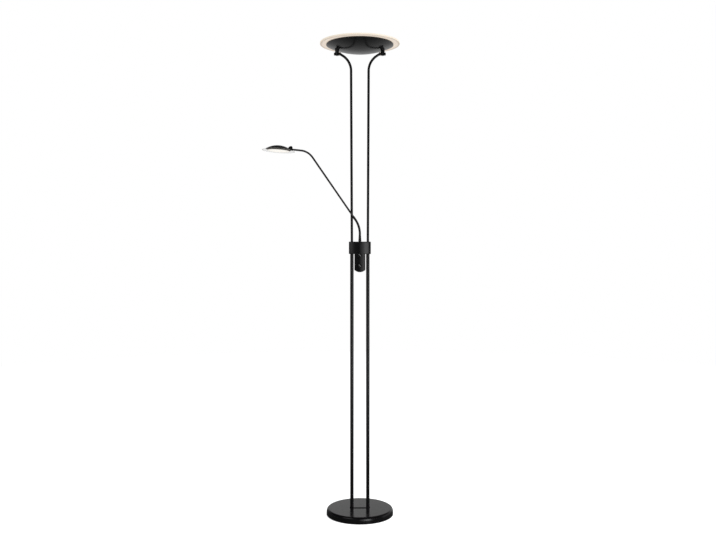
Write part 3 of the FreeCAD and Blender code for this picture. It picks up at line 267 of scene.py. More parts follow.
def felt_finish(name, colour):
    """Pressed felt: short crossing fibres with a soft sheen."""
    made, tree, shader = new_material(name)
    place = object_space(tree)
    fibres = noise(tree, place, 900.0, 6.0, 0.75)
    dark = tuple(part * 0.6 for part in colour)
    light = tuple(part * 1.7 for part in colour)
    tree.links.new(shade_between(tree, fibres, dark, light), shader.inputs["Base Color"])
    tree.links.new(bump(tree, fibres, 0.4 * MM), shader.inputs["Normal"])
    shader.inputs["Roughness"].default_value = 0.95
    shader.inputs["Sheen Weight"].default_value = 0.3
    return made


def brushed_finish(name, colour, roughness, stretch):
    """Bare metal with fine lines along one direction."""
    made, tree, shader = new_material(name)
    lines = noise(tree, object_space(tree, stretch), 420.0, 5.0, 0.6)
    cloud = noise(tree, object_space(tree), 60.0)
    dark = tuple(part * 0.88 for part in colour)
    tree.links.new(
        shade_between(tree, spread(tree, cloud, 0.0, 1.0), dark, colour), shader.inputs["Base Color"]
    )
    tree.links.new(spread(tree, lines, roughness - 0.07, roughness + 0.1), shader.inputs["Roughness"])
    tree.links.new(bump(tree, lines, 0.02 * MM), shader.inputs["Normal"])
    shader.inputs["Metallic"].default_value = 1.0
    return made


def board_finish(name):
    """White solder mask with small light chips in rows and pale tracks."""
    made, tree, shader = new_material(name)
    place = object_space(tree)
    chips = tree.nodes.new("ShaderNodeTexBrick")
    chips.offset = 0.0
    chips.inputs["Color1"].default_value = (0.93, 0.82, 0.42, 1.0)
    chips.inputs["Color2"].default_value = (0.9, 0.78, 0.38, 1.0)
    chips.inputs["Mortar"].default_value = (0.86, 0.87, 0.85, 1.0)
    chips.inputs["Scale"].default_value = 90.0
    chips.inputs["Mortar Size"].default_value = 0.11
    chips.inputs["Brick Width"].default_value = 0.5
    chips.inputs["Row Height"].default_value = 0.5
    tree.links.new(place, chips.inputs["Vector"])
    tree.links.new(chips.outputs["Color"], shader.inputs["Base Color"])
    tree.links.new(bump(tree, chips.outputs["Fac"], 0.2 * MM), shader.inputs["Normal"])
    shader.inputs["Roughness"].default_value = 0.45
    return made


def colour_steps(tree, value, steps):
    """Colour ramp through (position, colour) steps."""
    ramp = tree.nodes.new("ShaderNodeValToRGB")
    stops = ramp.color_ramp.elements
    while len(stops) < len(steps):
        stops.new(0.5)
    for stop, (position, colour) in zip(stops, steps):
        stop.position = position
        stop.color = (*colour, 1.0)
    tree.links.new(value, ramp.inputs["Fac"])
    return ramp.outputs["Color"]


def lower_face_only(tree, place, centre, upward):
    """1 on the reading glass's lower face, and nearly 0 on its edge and its upper face."""
    offset = tree.nodes.new("ShaderNodeVectorMath")
    offset.operation = "SUBTRACT"
    offset.inputs[1].default_value = centre
    tree.links.new(place, offset.inputs[0])
    height = tree.nodes.new("ShaderNodeVectorMath")
    height.operation = "DOT_PRODUCT"
    height.inputs[1].default_value = upward
    tree.links.new(offset.outputs["Vector"], height.inputs[0])
    face_z = -READING_GLASS_THICKNESS / 2
    return spread(tree, height.outputs["Value"], 1.0, 0.02, face_z + 0.2 * MM, face_z + 0.6 * MM)


def frosted_finish(name, centre, radius, glow, opacity=None, upward=None):
    """Frosted glass lit from inside; glow lists (share of the radius, colour) from the middle out.

    opacity, if given, lists (share of the radius, opacity) in the same way, for a glass with a clear
    rim. Only its lower face is frosted then; its edge and its upper face are polished and clear.
    """
    made, tree, shader = new_material(name)
    place = object_space(tree)
    away = tree.nodes.new("ShaderNodeVectorMath")
    away.operation = "DISTANCE"
    away.inputs[1].default_value = centre
    tree.links.new(place, away.inputs[0])
    share = spread(tree, away.outputs["Value"], 0.0, 1.0, 0.0, radius)
    if opacity:
        across = colour_steps(tree, share, [(at, (value,) * 3) for at, value in opacity])
        face = lower_face_only(tree, place, centre, upward)
        tree.links.new(math_node(tree, "MULTIPLY", across, face), shader.inputs["Alpha"])
        base = colour_steps(
            tree, share, [(LIT_MIDDLE, (0.21, 0.2, 0.185)), (CLEAR_RIM, (0.01, 0.01, 0.01))]
        )
    else:
        cloud = spread(tree, noise(tree, place, 30.0), 0.0, 1.0)
        base = shade_between(tree, cloud, (0.2, 0.19, 0.175), (0.23, 0.22, 0.2))
    sand = noise(tree, place, 2600.0, 2.0)
    tree.links.new(base, shader.inputs["Base Color"])
    tree.links.new(colour_steps(tree, share, glow), shader.inputs["Emission Color"])
    tree.links.new(spread(tree, sand, 0.36, 0.46), shader.inputs["Roughness"])
    tree.links.new(bump(tree, sand, 0.02 * MM), shader.inputs["Normal"])
    shader.inputs["Emission Strength"].default_value = 1.0
    shader.inputs["IOR"].default_value = 1.5
    shader.inputs["Subsurface Weight"].default_value = 0.15
    shader.inputs["Subsurface Scale"].default_value = 3.0 * MM
    return made


def painted_shade_lining(name, colour):
    """Flocked matt black sheet, which mirrors nothing: painted shade, where a part's unlit inside would
    be.
    """
    made, tree, shader = new_material(name)
    flock = noise(tree, object_space(tree), 1800.0, 3.0)
    light = tuple(part * 2.0 for part in colour)
    tree.links.new(shade_between(tree, flock, colour, light), shader.inputs["Base Color"])
    tree.links.new(bump(tree, flock, 0.05 * MM), shader.inputs["Normal"])
    shader.inputs["Roughness"].default_value = 0.95
    shader.inputs["Specular IOR Level"].default_value = 0.0
    return made


def build_materials():
    """Every material by name: each slot's own, a matt black sheet of painted shade, the reading glass,
    and the pale grey of the pointer marks, partly a painted highlight.
    """
    look = {
        name: finish(name, colour, roughness, **details)
        for name, (colour, roughness, details) in FINISHES.items()
    }
    # A matt black sheet of painted shade, for the unlit inside of the reading shell.
    look["painted_shade_lining"] = painted_shade_lining("painted_shade_lining", BLACK)
    look["felt"] = felt_finish("felt", (0.025, 0.025, 0.026))
    look["zinc_steel"] = brushed_finish("zinc_steel", (0.62, 0.64, 0.68), 0.34, (1.0, 1.0, 0.1))
    look["aluminium"] = brushed_finish("aluminium", (0.78, 0.79, 0.8), 0.4, (0.1, 1.0, 1.0))
    look["circuit_board"] = board_finish("circuit_board")
    glass_centre = (0.0, 0.0, TOTAL_HEIGHT - GLASS_THICKNESS / 2)
    look["frosted_glass"] = frosted_finish("frosted_glass", glass_centre, GLASS_RADIUS, UPLIGHT_GLOW)
    upward = head_place().to_3x3().col[2]
    head_middle = head_place().translation + upward * READING_GLASS_THICKNESS / 2
    look["reading_glass"] = frosted_finish(
        "reading_glass", tuple(head_middle), READING_GLASS_RADIUS, READING_GLOW, READING_OPACITY,
        tuple(upward),
    )
    return look


# Mesh helpers

# Flutes of a turned piece: (count, depth, low, high), for the points between two heights.
NO_FLUTES = (0, 0.0, 0.0, 0.0)


def as_object(name, mesh_edit, material, body=None, replaced=(), crease=35.0):
    """Finish a bmesh: outward normals, smooth faces with sharp edges, material and body; the CAD nodes
    it replaces are hidden.
    """
    bmesh.ops.remove_doubles(mesh_edit, verts=mesh_edit.verts, dist=1e-7)
    bmesh.ops.recalc_face_normals(mesh_edit, faces=mesh_edit.faces)
    mesh = bpy.data.meshes.new(name)
    mesh_edit.to_mesh(mesh)
    mesh_edit.free()
    for face in mesh.polygons:
        face.use_smooth = True
    mesh.set_sharp_from_angle(angle=math.radians(crease))
    mesh.materials.append(material)
    piece = bpy.data.objects.new(name, mesh)
    bpy.context.scene.collection.objects.link(piece)
    for node in replaced:
        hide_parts(node)
    if body:
        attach(piece, body)
    return piece


def arc(centre_r, centre_z, radius, start, end, steps):
    """Profile points on an arc, angles in degrees."""
    points = []
    for step in range(steps + 1):
        turn = math.radians(start + (end - start) * step / steps)
        points.append((centre_r + radius * math.cos(turn), centre_z + radius * math.sin(turn)))
    return points


def in_mm(profile):
    """Profile points given in mm."""
    return [(radius * MM, height * MM) for radius, height in profile]


def turn_profile(mesh_edit, profile, segments, place, flutes=NO_FLUTES):
    """Turn a closed (radius, height) profile about the local Z axis."""
    place = place or Matrix.Identity(4)
    count, depth, low, high = flutes
    rings = []
    for radius, height in profile:
        if radius < 1e-9:
            rings.append([mesh_edit.verts.new(place @ Vector((0, 0, height)))])
            continue
        ring = []
        for index in range(segments):
            turn = 2 * math.pi * index / segments
            here = radius
            if low <= height <= high:
                here -= depth * (0.5 - 0.5 * math.cos(count * turn))
            point = Vector((here * math.cos(turn), here * math.sin(turn), height))
            ring.append(mesh_edit.verts.new(place @ point))
        rings.append(ring)
    for index, ring in enumerate(rings):
        following = rings[(index + 1) % len(rings)]
        if len(ring) == 1 and len(following) == 1:
            continue
        for step in range(segments):
            ahead = (step + 1) % segments
            corners = [ring[step % len(ring)], ring[ahead % len(ring)]]
            corners += [following[ahead % len(following)], following[step % len(following)]]
            unique = []
            for corner in corners:
                if corner not in unique:
                    unique.append(corner)
            mesh_edit.faces.new(unique)


def turned(name, profile, material, body, replaced, segments, place=None, flutes=NO_FLUTES):
    """Turned piece on a closed profile of (radius, height) points."""
    mesh_edit = bmesh.new()
    turn_profile(mesh_edit, profile, segments, place, flutes)
    return as_object(name, mesh_edit, material, body, replaced)


def turned_node(name, node, look, profile, segments, place=None, flutes=NO_FLUTES):
    """Turned piece that takes the place of a CAD node, with the material of the node's slot and the
    node's body.
    """
    slot = SLOT_OF[node]
    turned(name, profile, look[slot], BODY_OF[node], [node], segments, place, flutes)


def facing(origin, axis):
    """Matrix that takes local Z to an axis at an origin."""
    return Matrix.Translation(origin) @ Vector(axis).to_track_quat("Z", "Y").to_matrix().to_4x4()


def frame_matrix(*columns):
    """Matrix from its three axes and its origin."""
    place = Matrix.Identity(4)
    for column, vector in enumerate(columns):
        for row in range(3):
            place[row][column] = vector[row]
    return place


def tube_rings(points, section, mesh_edit):
    """Sweep a capped round section along points. section(distance, angle) gives the radius."""
    tangent = (points[1] - points[0]).normalized()
    side = tangent.orthogonal().normalized()
    rings = []
    distance = 0.0
    for index, point in enumerate(points):
        before = points[max(index - 1, 0)]
        after = points[min(index + 1, len(points) - 1)]
        heading = (after - before).normalized()
        side = (side - heading * side.dot(heading)).normalized()
        across = heading.cross(side)
        if index:
            distance += (point - points[index - 1]).length
        ring = []
        for step in range(section.segments):
            turn = 2 * math.pi * step / section.segments
            radius = section(distance, turn)
            offset = side * math.cos(turn) + across * math.sin(turn)
            ring.append(mesh_edit.verts.new(point + offset * radius))
        rings.append(ring)
    for first, second in zip(rings, rings[1:]):
        for step in range(section.segments):
            ahead = (step + 1) % section.segments
            mesh_edit.faces.new((first[step], first[ahead], second[ahead], second[step]))
    mesh_edit.faces.new(rings[0])
    mesh_edit.faces.new(rings[-1])


class RoundSection:
    """Plain round section of one radius."""

    def __init__(self, radius, segments):
        self.radius = radius
        self.segments = segments

    def __call__(self, distance, turn):
        return self.radius


class CoilSection:
    """Section of a spiral neck: a helical groove between rounded turns."""

    segments = 48

    def __init__(self, radius, pitch, depth, start):
        self.radius = radius
        self.pitch = pitch
        self.depth = depth
        self.start = start

    def __call__(self, distance, turn):
        phase = ((distance + self.start) / self.pitch - turn / (2 * math.pi)) % 1.0
        crown = abs(2 * phase - 1) ** 4
        return self.radius - self.depth * crown


def bent_path(start, corner, end, radius, steps):
    """Two straight runs with a tangent arc between them, as points."""
    back = (start - corner).normalized()
    ahead = (end - corner).normalized()
    half_turn = (math.pi - back.angle(ahead)) / 2
    reach = radius * math.tan(half_turn)
    middle = corner + (back + ahead).normalized() * (radius / math.cos(half_turn))
    arc_start = corner + back * reach - middle
    normal = arc_start.cross(corner + ahead * reach - middle).normalized()
    points = [start]
    for step in range(steps + 1):
        turn = Matrix.Rotation(2 * half_turn * step / steps, 3, normal)
        points.append(middle + turn @ arc_start)
    points.append(end)
    return points


def swept_node(name, node, look, points, radius, segments):
    """Round tube along points that takes the place of a CAD node."""
    mesh_edit = bmesh.new()
    tube_rings(points, RoundSection(radius, segments), mesh_edit)
    as_object(name, mesh_edit, look[SLOT_OF[node]], BODY_OF[node], [node], crease=50.0)


def round_ended_bar(centre_x, radius, steps):
    """Outline of a bar along X; the centres of its round ends lie centre_x to either side."""
    outline = []
    for side, start in ((1, -90), (-1, 90)):
        for step in range(steps + 1):
            turn = math.radians(start + 180 * step / steps)
            outline.append((side * centre_x + radius * math.cos(turn), radius * math.sin(turn)))
    return outline


def prism(mesh_edit, outline, low, high, place=None):
    """Closed upright prism on an outline of (x, y) points."""
    place = place or Matrix.Identity(4)
    bottom = [mesh_edit.verts.new(place @ Vector((x, y, low))) for x, y in outline]
    top = [mesh_edit.verts.new(place @ Vector((x, y, high))) for x, y in outline]
    mesh_edit.faces.new(bottom[::-1])
    mesh_edit.faces.new(top)
    for index in range(len(outline)):
        ahead = (index + 1) % len(outline)
        mesh_edit.faces.new((bottom[index], bottom[ahead], top[ahead], top[index]))


def round_edges(piece, width, segments=3, angle=40.0):
    """Small rounding on every sharp edge."""
    edge = piece.modifiers.new("rounding", "BEVEL")
    edge.width = width
    edge.segments = segments
    edge.limit_method = "ANGLE"
    edge.angle_limit = math.radians(angle)
    edge.harden_normals = False


def softened(name, node, look, width, angle=35.0):
    """A CAD node's own shape with its sharp edges rounded."""
    mesh_edit = bmesh.new()
    mesh_edit.from_mesh(frame["nodes"][node].data)
    bmesh.ops.remove_doubles(mesh_edit, verts=mesh_edit.verts, dist=1e-6)
    bmesh.ops.dissolve_limit(
        mesh_edit, angle_limit=math.radians(0.5), verts=mesh_edit.verts, edges=mesh_edit.edges
    )
    piece = as_object(name, mesh_edit, look[SLOT_OF[node]], BODY_OF[node], [node])
    round_edges(piece, width, angle=angle)
    evened = piece.modifiers.new("evened", "WEIGHTED_NORMAL")
    evened.weight = 80
    evened.keep_sharp = True


# The stand

def shoulder(inset):
    """Profile points of the base's shoulder from its side up to its flat top."""
    arcs = [(size * MM - inset, low, high) for size, low, high in BASE_SHOULDER]
    rise = sum(
        size * (math.sin(math.radians(high)) - math.sin(math.radians(low))) for size, low, high in arcs
    )
    at = (BASE_RADIUS - inset, BASE_TOP_Z - inset - rise)
    points = [at]
    for size, low, high in arcs:
        middle_r = at[0] - size * math.cos(math.radians(low))
        middle_z = at[1] - size * math.sin(math.radians(low))
        points += arc(middle_r, middle_z, size, low, high, 10)[1:]
        at = points[-1]
    return points


def build_base(look):
    """Stamped cover with a soft shoulder and a rolled lower rim, its inlet bush, and the foot plate."""
    low = 1.0 * MM
    lip = 0.4 * MM
    profile = [(BASE_RADIUS, low + lip)] + shoulder(0.0)
    profile += [(BASE_RADIUS * share, BASE_TOP_Z) for share in (0.85, 0.7, 0.5, 0.3, 0.12)]
    profile += [(0.0, BASE_TOP_Z), (0.0, BASE_TOP_Z - COVER_WALL)] + shoulder(COVER_WALL)[::-1]
    profile += [(BASE_RADIUS - COVER_WALL, low), (BASE_RADIUS - lip, low)]
    cover = turned(
        "base_cover_shell", profile, look["black_paint"], None, ["base_cover"], 192
    )
    bush_low, bush_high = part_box("cord_bush")
    bush_centre = (bush_low + bush_high) / 2
    hole_radius = 5.0 * MM
    hole_length = 16.0 * MM
    hole_profile = [(0.0, 0.0), (hole_radius, 0.0), (hole_radius, hole_length), (0.0, hole_length)]
    hole_start = Vector((bush_centre.x, BASE_RADIUS - hole_length / 2, bush_centre.z))
    hole = bmesh.new()
    turn_profile(hole, hole_profile, 48, facing(hole_start, (0, 1, 0)))
    cutter = as_object("cutter", hole, look["black_paint"])
    cut_with(cover, cutter)
    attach(cover, "stand")
    bush = in_mm([
        (3.5, 0.3), (3.8, 0.0), (7.0, 0.0), (7.0, 2.0), (5.0, 2.0), (5.0, 4.0), (6.1, 4.0),
        (6.5, 4.4), (6.4, 5.0), (5.8, 5.5), (3.9, 5.5), (3.5, 5.1),
    ])
    bush_place = facing(Vector((bush_centre.x, bush_low.y, bush_centre.z)), (0, 1, 0))
    turned_node("cord_inlet_bush", "cord_bush", look, bush, 64, bush_place)
    build_foot_plate(look)


def cut_with(piece, cutter):
    """Boolean difference, applied, after which the cutter is gone."""
    cut = piece.modifiers.new("cut", "BOOLEAN")
    cut.operation = "DIFFERENCE"
    cut.solver = "EXACT"
    cut.object = cutter
    evaluated = piece.evaluated_get(bpy.context.evaluated_depsgraph_get())
    mesh = bpy.data.meshes.new_from_object(evaluated)
    piece.modifiers.clear()
    piece.data = mesh
    bpy.data.objects.remove(cutter)


def build_foot_plate(look):
    """Plate with round ends under both poles."""
    low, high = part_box("foot_plate")
    mesh_edit = bmesh.new()
    prism(mesh_edit, round_ended_bar(POLE_HALF_SPACING, (high.y - low.y) / 2, 16), low.z, high.z)
    plate = as_object(
        "foot_plate_rounded", mesh_edit, look["black_paint"], "stand", ["foot_plate"]
    )
    round_edges(plate, 0.7 * MM, 4)


def upper_pole_corners():
    """Foot, bend corner and end of the right upper pole."""
    foot = Vector((POLE_HALF_SPACING, 0, UPPER_POLE_FOOT_Z))
    bend_start = Vector((UPPER_BEND_START[0], 0, UPPER_BEND_START[1]))
    rise = (bend_start - foot).normalized()
    turn = math.radians(UPPER_BEND_ANGLE)
    corner = bend_start + rise * UPPER_BEND_RADIUS * math.tan(turn / 2)
    lean = math.atan2(rise.x, rise.z)
    outward = Vector((math.sin(lean + turn), 0, math.cos(lean + turn)))
    run = (UPPER_POLE_END_X - corner.x) / outward.x
    return foot, corner, corner + outward * run


def build_poles(look):
    """Thick lower tubes, and thin upper tubes that bend outward at the top."""
    foot, corner, end = upper_pole_corners()
    upper_tube = bent_path(foot, corner, end, UPPER_BEND_RADIUS, 28)
    for name, side in (("left", -1), ("right", 1)):
        mirror = Matrix.Diagonal((side, 1, 1))
        low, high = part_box("pole_lower_" + name)
        heights = (low.z, LOWER_POLE_MIDDLE_Z, high.z)
        tube = [Vector((side * POLE_HALF_SPACING, 0, height)) for height in heights]
        swept_node("lower_tube_" + name, "pole_lower_" + name, look, tube, LOWER_POLE_RADIUS, 48)
        points = [mirror @ point for point in upper_tube]
        swept_node("upper_tube_" + name, "pole_upper_" + name, look, points, UPPER_POLE_RADIUS, 40)


# The reading arm

def arm_outward():
    """Level direction in which the arm points."""
    turn = math.radians(ARM_AZIMUTH)
    return Vector((-math.cos(turn), -math.sin(turn), 0))


def arm_direction(angle):
    """Direction in the arm's upright plane, by its rise in degrees."""
    turn = math.radians(angle)
    return arm_outward() * math.cos(turn) + UP * math.sin(turn)


def neck_place(distance):
    """Point and heading on the neck's centre line."""
    if distance <= NECK_STRAIGHT:
        return UP * (NECK_START_Z + distance), UP.copy()
    sweep = math.radians(90.0 - ARM_RISE_ANGLE)
    turned_by = min((distance - NECK_STRAIGHT) / NECK_BEND_RADIUS, sweep)
    reach = NECK_BEND_RADIUS * (1 - math.cos(turned_by))
    height = NECK_START_Z + NECK_STRAIGHT + NECK_BEND_RADIUS * math.sin(turned_by)
    heading = arm_direction(90.0 - math.degrees(turned_by))
    beyond = max(distance - NECK_STRAIGHT - NECK_BEND_RADIUS * sweep, 0.0)
    return arm_outward() * reach + UP * height + heading * beyond, heading


def build_neck(look):
    """The spiral neck in five lengths; each is centred on one joint and follows the neck's curve across
    it.
    """
    rings_per_turn = 12
    neck_end = NECK_LINKS * LINK_LENGTH
    tuck = 1.0 * MM
    for index in range(NECK_LINKS + 1):
        joint_at = index * LINK_LENGTH
        start = max(joint_at - LINK_LENGTH / 2, -tuck)
        end = min(joint_at + LINK_LENGTH / 2, neck_end + tuck)
        steps = max(int(round((end - start) / NECK_PITCH * rings_per_turn)), 2)
        stations = [start + (end - start) * step / steps for step in range(steps + 1)]
        points = [neck_place(station)[0] for station in stations]
        mesh_edit = bmesh.new()
        coil = CoilSection(NECK_RADIUS, NECK_PITCH, NECK_GROOVE_DEPTH, start)
        tube_rings(points, coil, mesh_edit)
        piece = as_object("neck_spiral_%d" % (index + 1), mesh_edit, look["neck_metal"], crease=70.0)
        if index < NECK_LINKS:
            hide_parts("neck_link_%d" % (index + 1))
        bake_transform(piece)


def arm_points():
    """Ferrule start and heading, top corner and end of the arm tube."""
    start, heading = neck_place(NECK_LINKS * LINK_LENGTH)
    run = (ARM_TOP_REACH - start.dot(arm_outward())) / heading.dot(arm_outward())
    top_corner = start + heading * run
    return start, heading, top_corner, top_corner + arm_direction(ARM_END_ANGLE) * ARM_END_RUN


def build_arm(look):
    """Collar on the housing, sleeve at the neck's end, and the bent arm tube."""
    gap = 1.0 * MM
    height = NECK_START_Z - gap - COLLAR_BASE_Z
    collar = [(0.0, 0.0), (5.5 * MM, 0.0)]
    collar += arc(5.4 * MM, 0.5 * MM, 0.5 * MM, -60, 10, 5)
    collar += [(5.85 * MM, 4.0 * MM), (5.5 * MM, 7.0 * MM), (4.9 * MM, height - 5 * MM)]
    collar += [(4.75 * MM, height - 1 * MM), (4.6 * MM, height - 0.3 * MM), (4.2 * MM, height)]
    collar += [(0.0, height)]
    collar_place = Matrix.Translation((0, 0, COLLAR_BASE_Z))
    turned_node("arm_collar_cone", "arm_collar", look, collar, 64, collar_place)
    start, heading, top_corner, tube_end = arm_points()
    half_groove = 0.575 * MM
    length = 12.0 * MM
    tube_overlap = 7.0 * MM
    ferrule = [(0.0, half_groove), (4.1 * MM, half_groove), (4.5 * MM, half_groove + 0.4 * MM)]
    ferrule += [(4.5 * MM, length - 1.2 * MM), (4.3 * MM, length - 0.5 * MM), (3.7 * MM, length)]
    ferrule += [(0.0, length)]
    turned_node("neck_end_sleeve", "neck_ferrule", look, ferrule, 64, facing(start, heading))
    tube_start = start + heading * (length - tube_overlap)
    points = bent_path(tube_start, top_corner, tube_end, ARM_TOP_BEND_RADIUS, 24)
    swept_node("arm_tube_smooth", "arm_tube", look, points, ARM_TUBE_RADIUS, 32)


# The uplighter

def glass_disc(name, node, material, radius, thickness, edge, place):
    """Glass disc with ground edges; its underside lies at the local origin."""
    profile = [(0.0, 0.0)]
    profile += [(radius * share, 0.0) for share in (0.3, 0.6, 0.8, 0.9)]
    profile += arc(radius - edge, edge, edge, -90, 0, 6)
    profile += arc(radius - edge, thickness - edge, edge, 0, 90, 6)
    profile += [(radius * share, thickness) for share in (0.9, 0.8, 0.6, 0.3)]
    profile += [(0.0, thickness)]
    turned(name, profile, material, BODY_OF[node], [node], 192, place)


def dome_profile(radius, height, wall, foot_z):
    """Closed profile of a spherical cap with a wall, its apex up."""
    steps = 40
    sphere = (radius ** 2 + height ** 2) / (2 * height)
    middle = foot_z + height - sphere
    half = math.asin(radius / sphere)
    inner_half = math.acos((foot_z - middle) / (sphere - wall))
    outer = []
    inner = []
    for step in range(steps + 1):
        turn = half * (1 - step / steps)
        outer.append((sphere * math.sin(turn), middle + sphere * math.cos(turn)))
        turn = inner_half * step / steps
        inner.append(((sphere - wall) * math.sin(turn), middle + (sphere - wall) * math.cos(turn)))
    outer[-1] = (0.0, outer[-1][1])
    return outer + inner


def build_uplighter(look):
    """Glass, bowl, hinge posts, the eyes at the poles' ends and both clamp knobs."""
    glass_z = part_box("uplight_glass")[0].z
    glass_disc(
        "uplight_glass_disc", "uplight_glass", look["frosted_glass"], GLASS_RADIUS, GLASS_THICKNESS,
        edge=1.2 * MM, place=Matrix.Translation((0, 0, glass_z)),
    )
    build_bowl(look, glass_z)
    for name in ("hinge_posts", "pole_end_eyes"):
        softened(name + "_rounded", name, look, 0.5 * MM)
    knob_low, knob_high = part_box("clamp_knob_left")
    hinge_z = (knob_low.z + knob_high.z) / 2
    for name, side in (("left", -1), ("right", 1)):
        origin = Vector((side * (POST_X + POST_EYE_HALF_WIDTH + KNOB_GAP), 0, hinge_z))
        thumb_knob(
            "thumb_knob_" + name, "clamp_knob_" + name, look, facing(origin, (side, 0, 0)),
            head=(5.5 * MM, 3.6 * MM), shank=(2.5 * MM, 20.9 * MM),
        )


def build_bowl(look, rim_z):
    """Spun bowl with a rolled rim band, and the seats of both posts."""
    band_z = rim_z - RIM_BAND
    sphere = (BOWL_RADIUS ** 2 + BOWL_DEPTH ** 2) / (2 * BOWL_DEPTH)
    middle = band_z - BOWL_DEPTH + sphere
    half = math.asin(BOWL_RADIUS / sphere)
    outer_steps = 64
    profile = []
    for step in range(outer_steps + 1):
        turn = half * step / outer_steps
        profile.append((sphere * math.sin(turn), middle - sphere * math.cos(turn)))
    profile[0] = (0.0, profile[0][1])
    lip = 0.5 * MM
    profile += arc(BOWL_RADIUS - lip, rim_z - lip, lip, 0, 90, 4)
    profile += [(BOWL_RADIUS - BOWL_WALL, rim_z), (BOWL_RADIUS - BOWL_WALL, band_z)]
    inner_half = math.asin((BOWL_RADIUS - BOWL_WALL) / (sphere - BOWL_WALL))
    inside = sphere - BOWL_WALL
    inner_steps = 24
    for step in range(1, inner_steps + 1):
        turn = inner_half * (1 - step / inner_steps)
        profile.append((inside * math.sin(turn), middle - inside * math.cos(turn)))
    profile[-1] = (0.0, profile[-1][1])
    turned_node("uplight_bowl_shell", "uplight_bowl", look, profile, 192)
    seat = in_mm([(0.0, 0.0), (7.2, 0.0), (7.8, 0.3), (8.0, 0.9), (8.0, 5.0), (0.0, 5.0)])
    for name, side in (("left", -1), ("right", 1)):
        turned(
            "bowl_seat_" + name, seat, look["black_paint"], "uplighter", (), 48,
            Matrix.Translation((side * POST_X, 0, POST_SEAT_Z)),
        )


def thumb_knob(name, node, look, place, head, shank):
    """Turned thumb screw with a fluted grip and a dished end; head and shank are (radius, length)."""
    radius, length = head
    shank_radius, shank_length = shank
    flat = 0.2 * MM
    profile = [(0.0, -shank_length), (shank_radius - flat, -shank_length)]
    profile += [(shank_radius, -shank_length + flat), (shank_radius, 0.0), (radius - 1.0 * MM, 0.0)]
    profile += arc(radius - 0.8 * MM, 0.8 * MM, 0.8 * MM, -70, 0, 4)
    profile += arc(radius - 1.1 * MM, length - 1.1 * MM, 1.1 * MM, 0, 90, 6)
    profile += [(radius * 0.55, length), (radius * 0.48, length - 0.4 * MM), (0.0, length - 0.5 * MM)]
    flutes = (24, 0.45 * MM, 0.6 * MM, length - 0.9 * MM)
    turned_node(name, node, look, profile, 144, place, flutes)


# The dimmer knobs

def build_controls(look):
    """Both knobs with their pointer marks, whose pale grey is partly a painted highlight along each
    crest.
    """
    for name in ("upper", "lower"):
        softened("dimmer_dial_" + name, "dimmer_knob_" + name, look, 0.45 * MM, angle=30.0)
        build_pointer(name, look)


def build_pointer(name, look):
    """Pale grey inlay along the crest of a dimmer's pointer bar: a pointer mark, and a painted
    highlight of the lit crest.
    """
    low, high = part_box("dimmer_knob_" + name)
    turn = math.radians(KNOB_POINTER_ANGLE)
    along = Vector((math.cos(turn), 0, -math.sin(turn)))
    across = Vector((math.sin(turn), 0, math.cos(turn)))
    crest = Vector(((low.x + high.x) / 2, low.y, (low.z + high.z) / 2))
    place = frame_matrix(along, across, Vector((0, -1, 0)), crest)
    half_length = 5.2 * MM
    half_width = 0.9 * MM
    depth = 0.6 * MM
    rise = 0.12 * MM
    outline = round_ended_bar(half_length - half_width, half_width, 8)
    mesh_edit = bmesh.new()
    prism(mesh_edit, outline, -depth, rise, place)
    inlay = as_object(
        "dimmer_pointer_highlight_" + name, mesh_edit, look["pointer_and_painted_highlight"], "dimmer_" + name
    )
    round_edges(inlay, 0.08 * MM, 2)


# The reading head

def head_place():
    """The head's own frame: local X towards the arm, local Z up through the dome."""
    tilt = math.radians(READING_TILT)
    towards_arm = arm_outward() * -math.cos(tilt) - UP * math.sin(tilt)
    upward = arm_outward() * -math.sin(tilt) + UP * math.cos(tilt)
    back = upward.cross(towards_arm)
    middle = arm_outward() * READING_HEAD_REACH + UP * READING_HEAD_Z
    return frame_matrix(towards_arm, back, upward, middle)


def build_reading_head(look):
    """Glass, a thin matt black sheet above it as painted shade for the unlit inside of the shell, the
    domed shell, the knuckle and its clamp knob.
    """
    place = head_place()
    thickness = READING_GLASS_THICKNESS
    glass_disc(
        "reading_glass_disc", "reading_glass", look["reading_glass"], READING_GLASS_RADIUS, thickness,
        edge=0.8 * MM, place=place,
    )
    # A thin matt black ring on the glass, under the shell: painted shade standing in for the unlit
    # inside of the shell.
    shade_sheet_hole = 10.0 * MM
    shade_sheet_radius = READING_SHELL_RADIUS - 0.5 * MM
    shade_sheet_low = thickness + 0.01 * MM
    shade_sheet_high = thickness + 0.08 * MM
    shade_sheet = [
        (shade_sheet_hole, shade_sheet_low), (shade_sheet_radius, shade_sheet_low), (shade_sheet_radius, shade_sheet_high),
        (shade_sheet_hole, shade_sheet_high),
    ]
    turned(
        "reading_shell_shade_sheet", shade_sheet, look["painted_shade_lining"], "reading_head", (),
        144, place,
    )
    dome = dome_profile(READING_SHELL_RADIUS, READING_SHELL_HEIGHT, READING_SHELL_WALL, thickness)
    turned_node("reading_shell_dome", "reading_shell", look, dome, 144, place)
    build_cheeks(look, place)
    softened("head_knuckle_rounded", "head_knuckle", look, 0.5 * MM)
    knob_seat = Vector((PIVOT_X, -5.5 * MM, PIVOT_Z))
    thumb_knob(
        "thumb_knob_reading", "reading_clamp_knob", look, place @ facing(knob_seat, (0, -1, 0)),
        head=(6.0 * MM, 6.0 * MM), shank=(2.0 * MM, 9.7 * MM),
    )


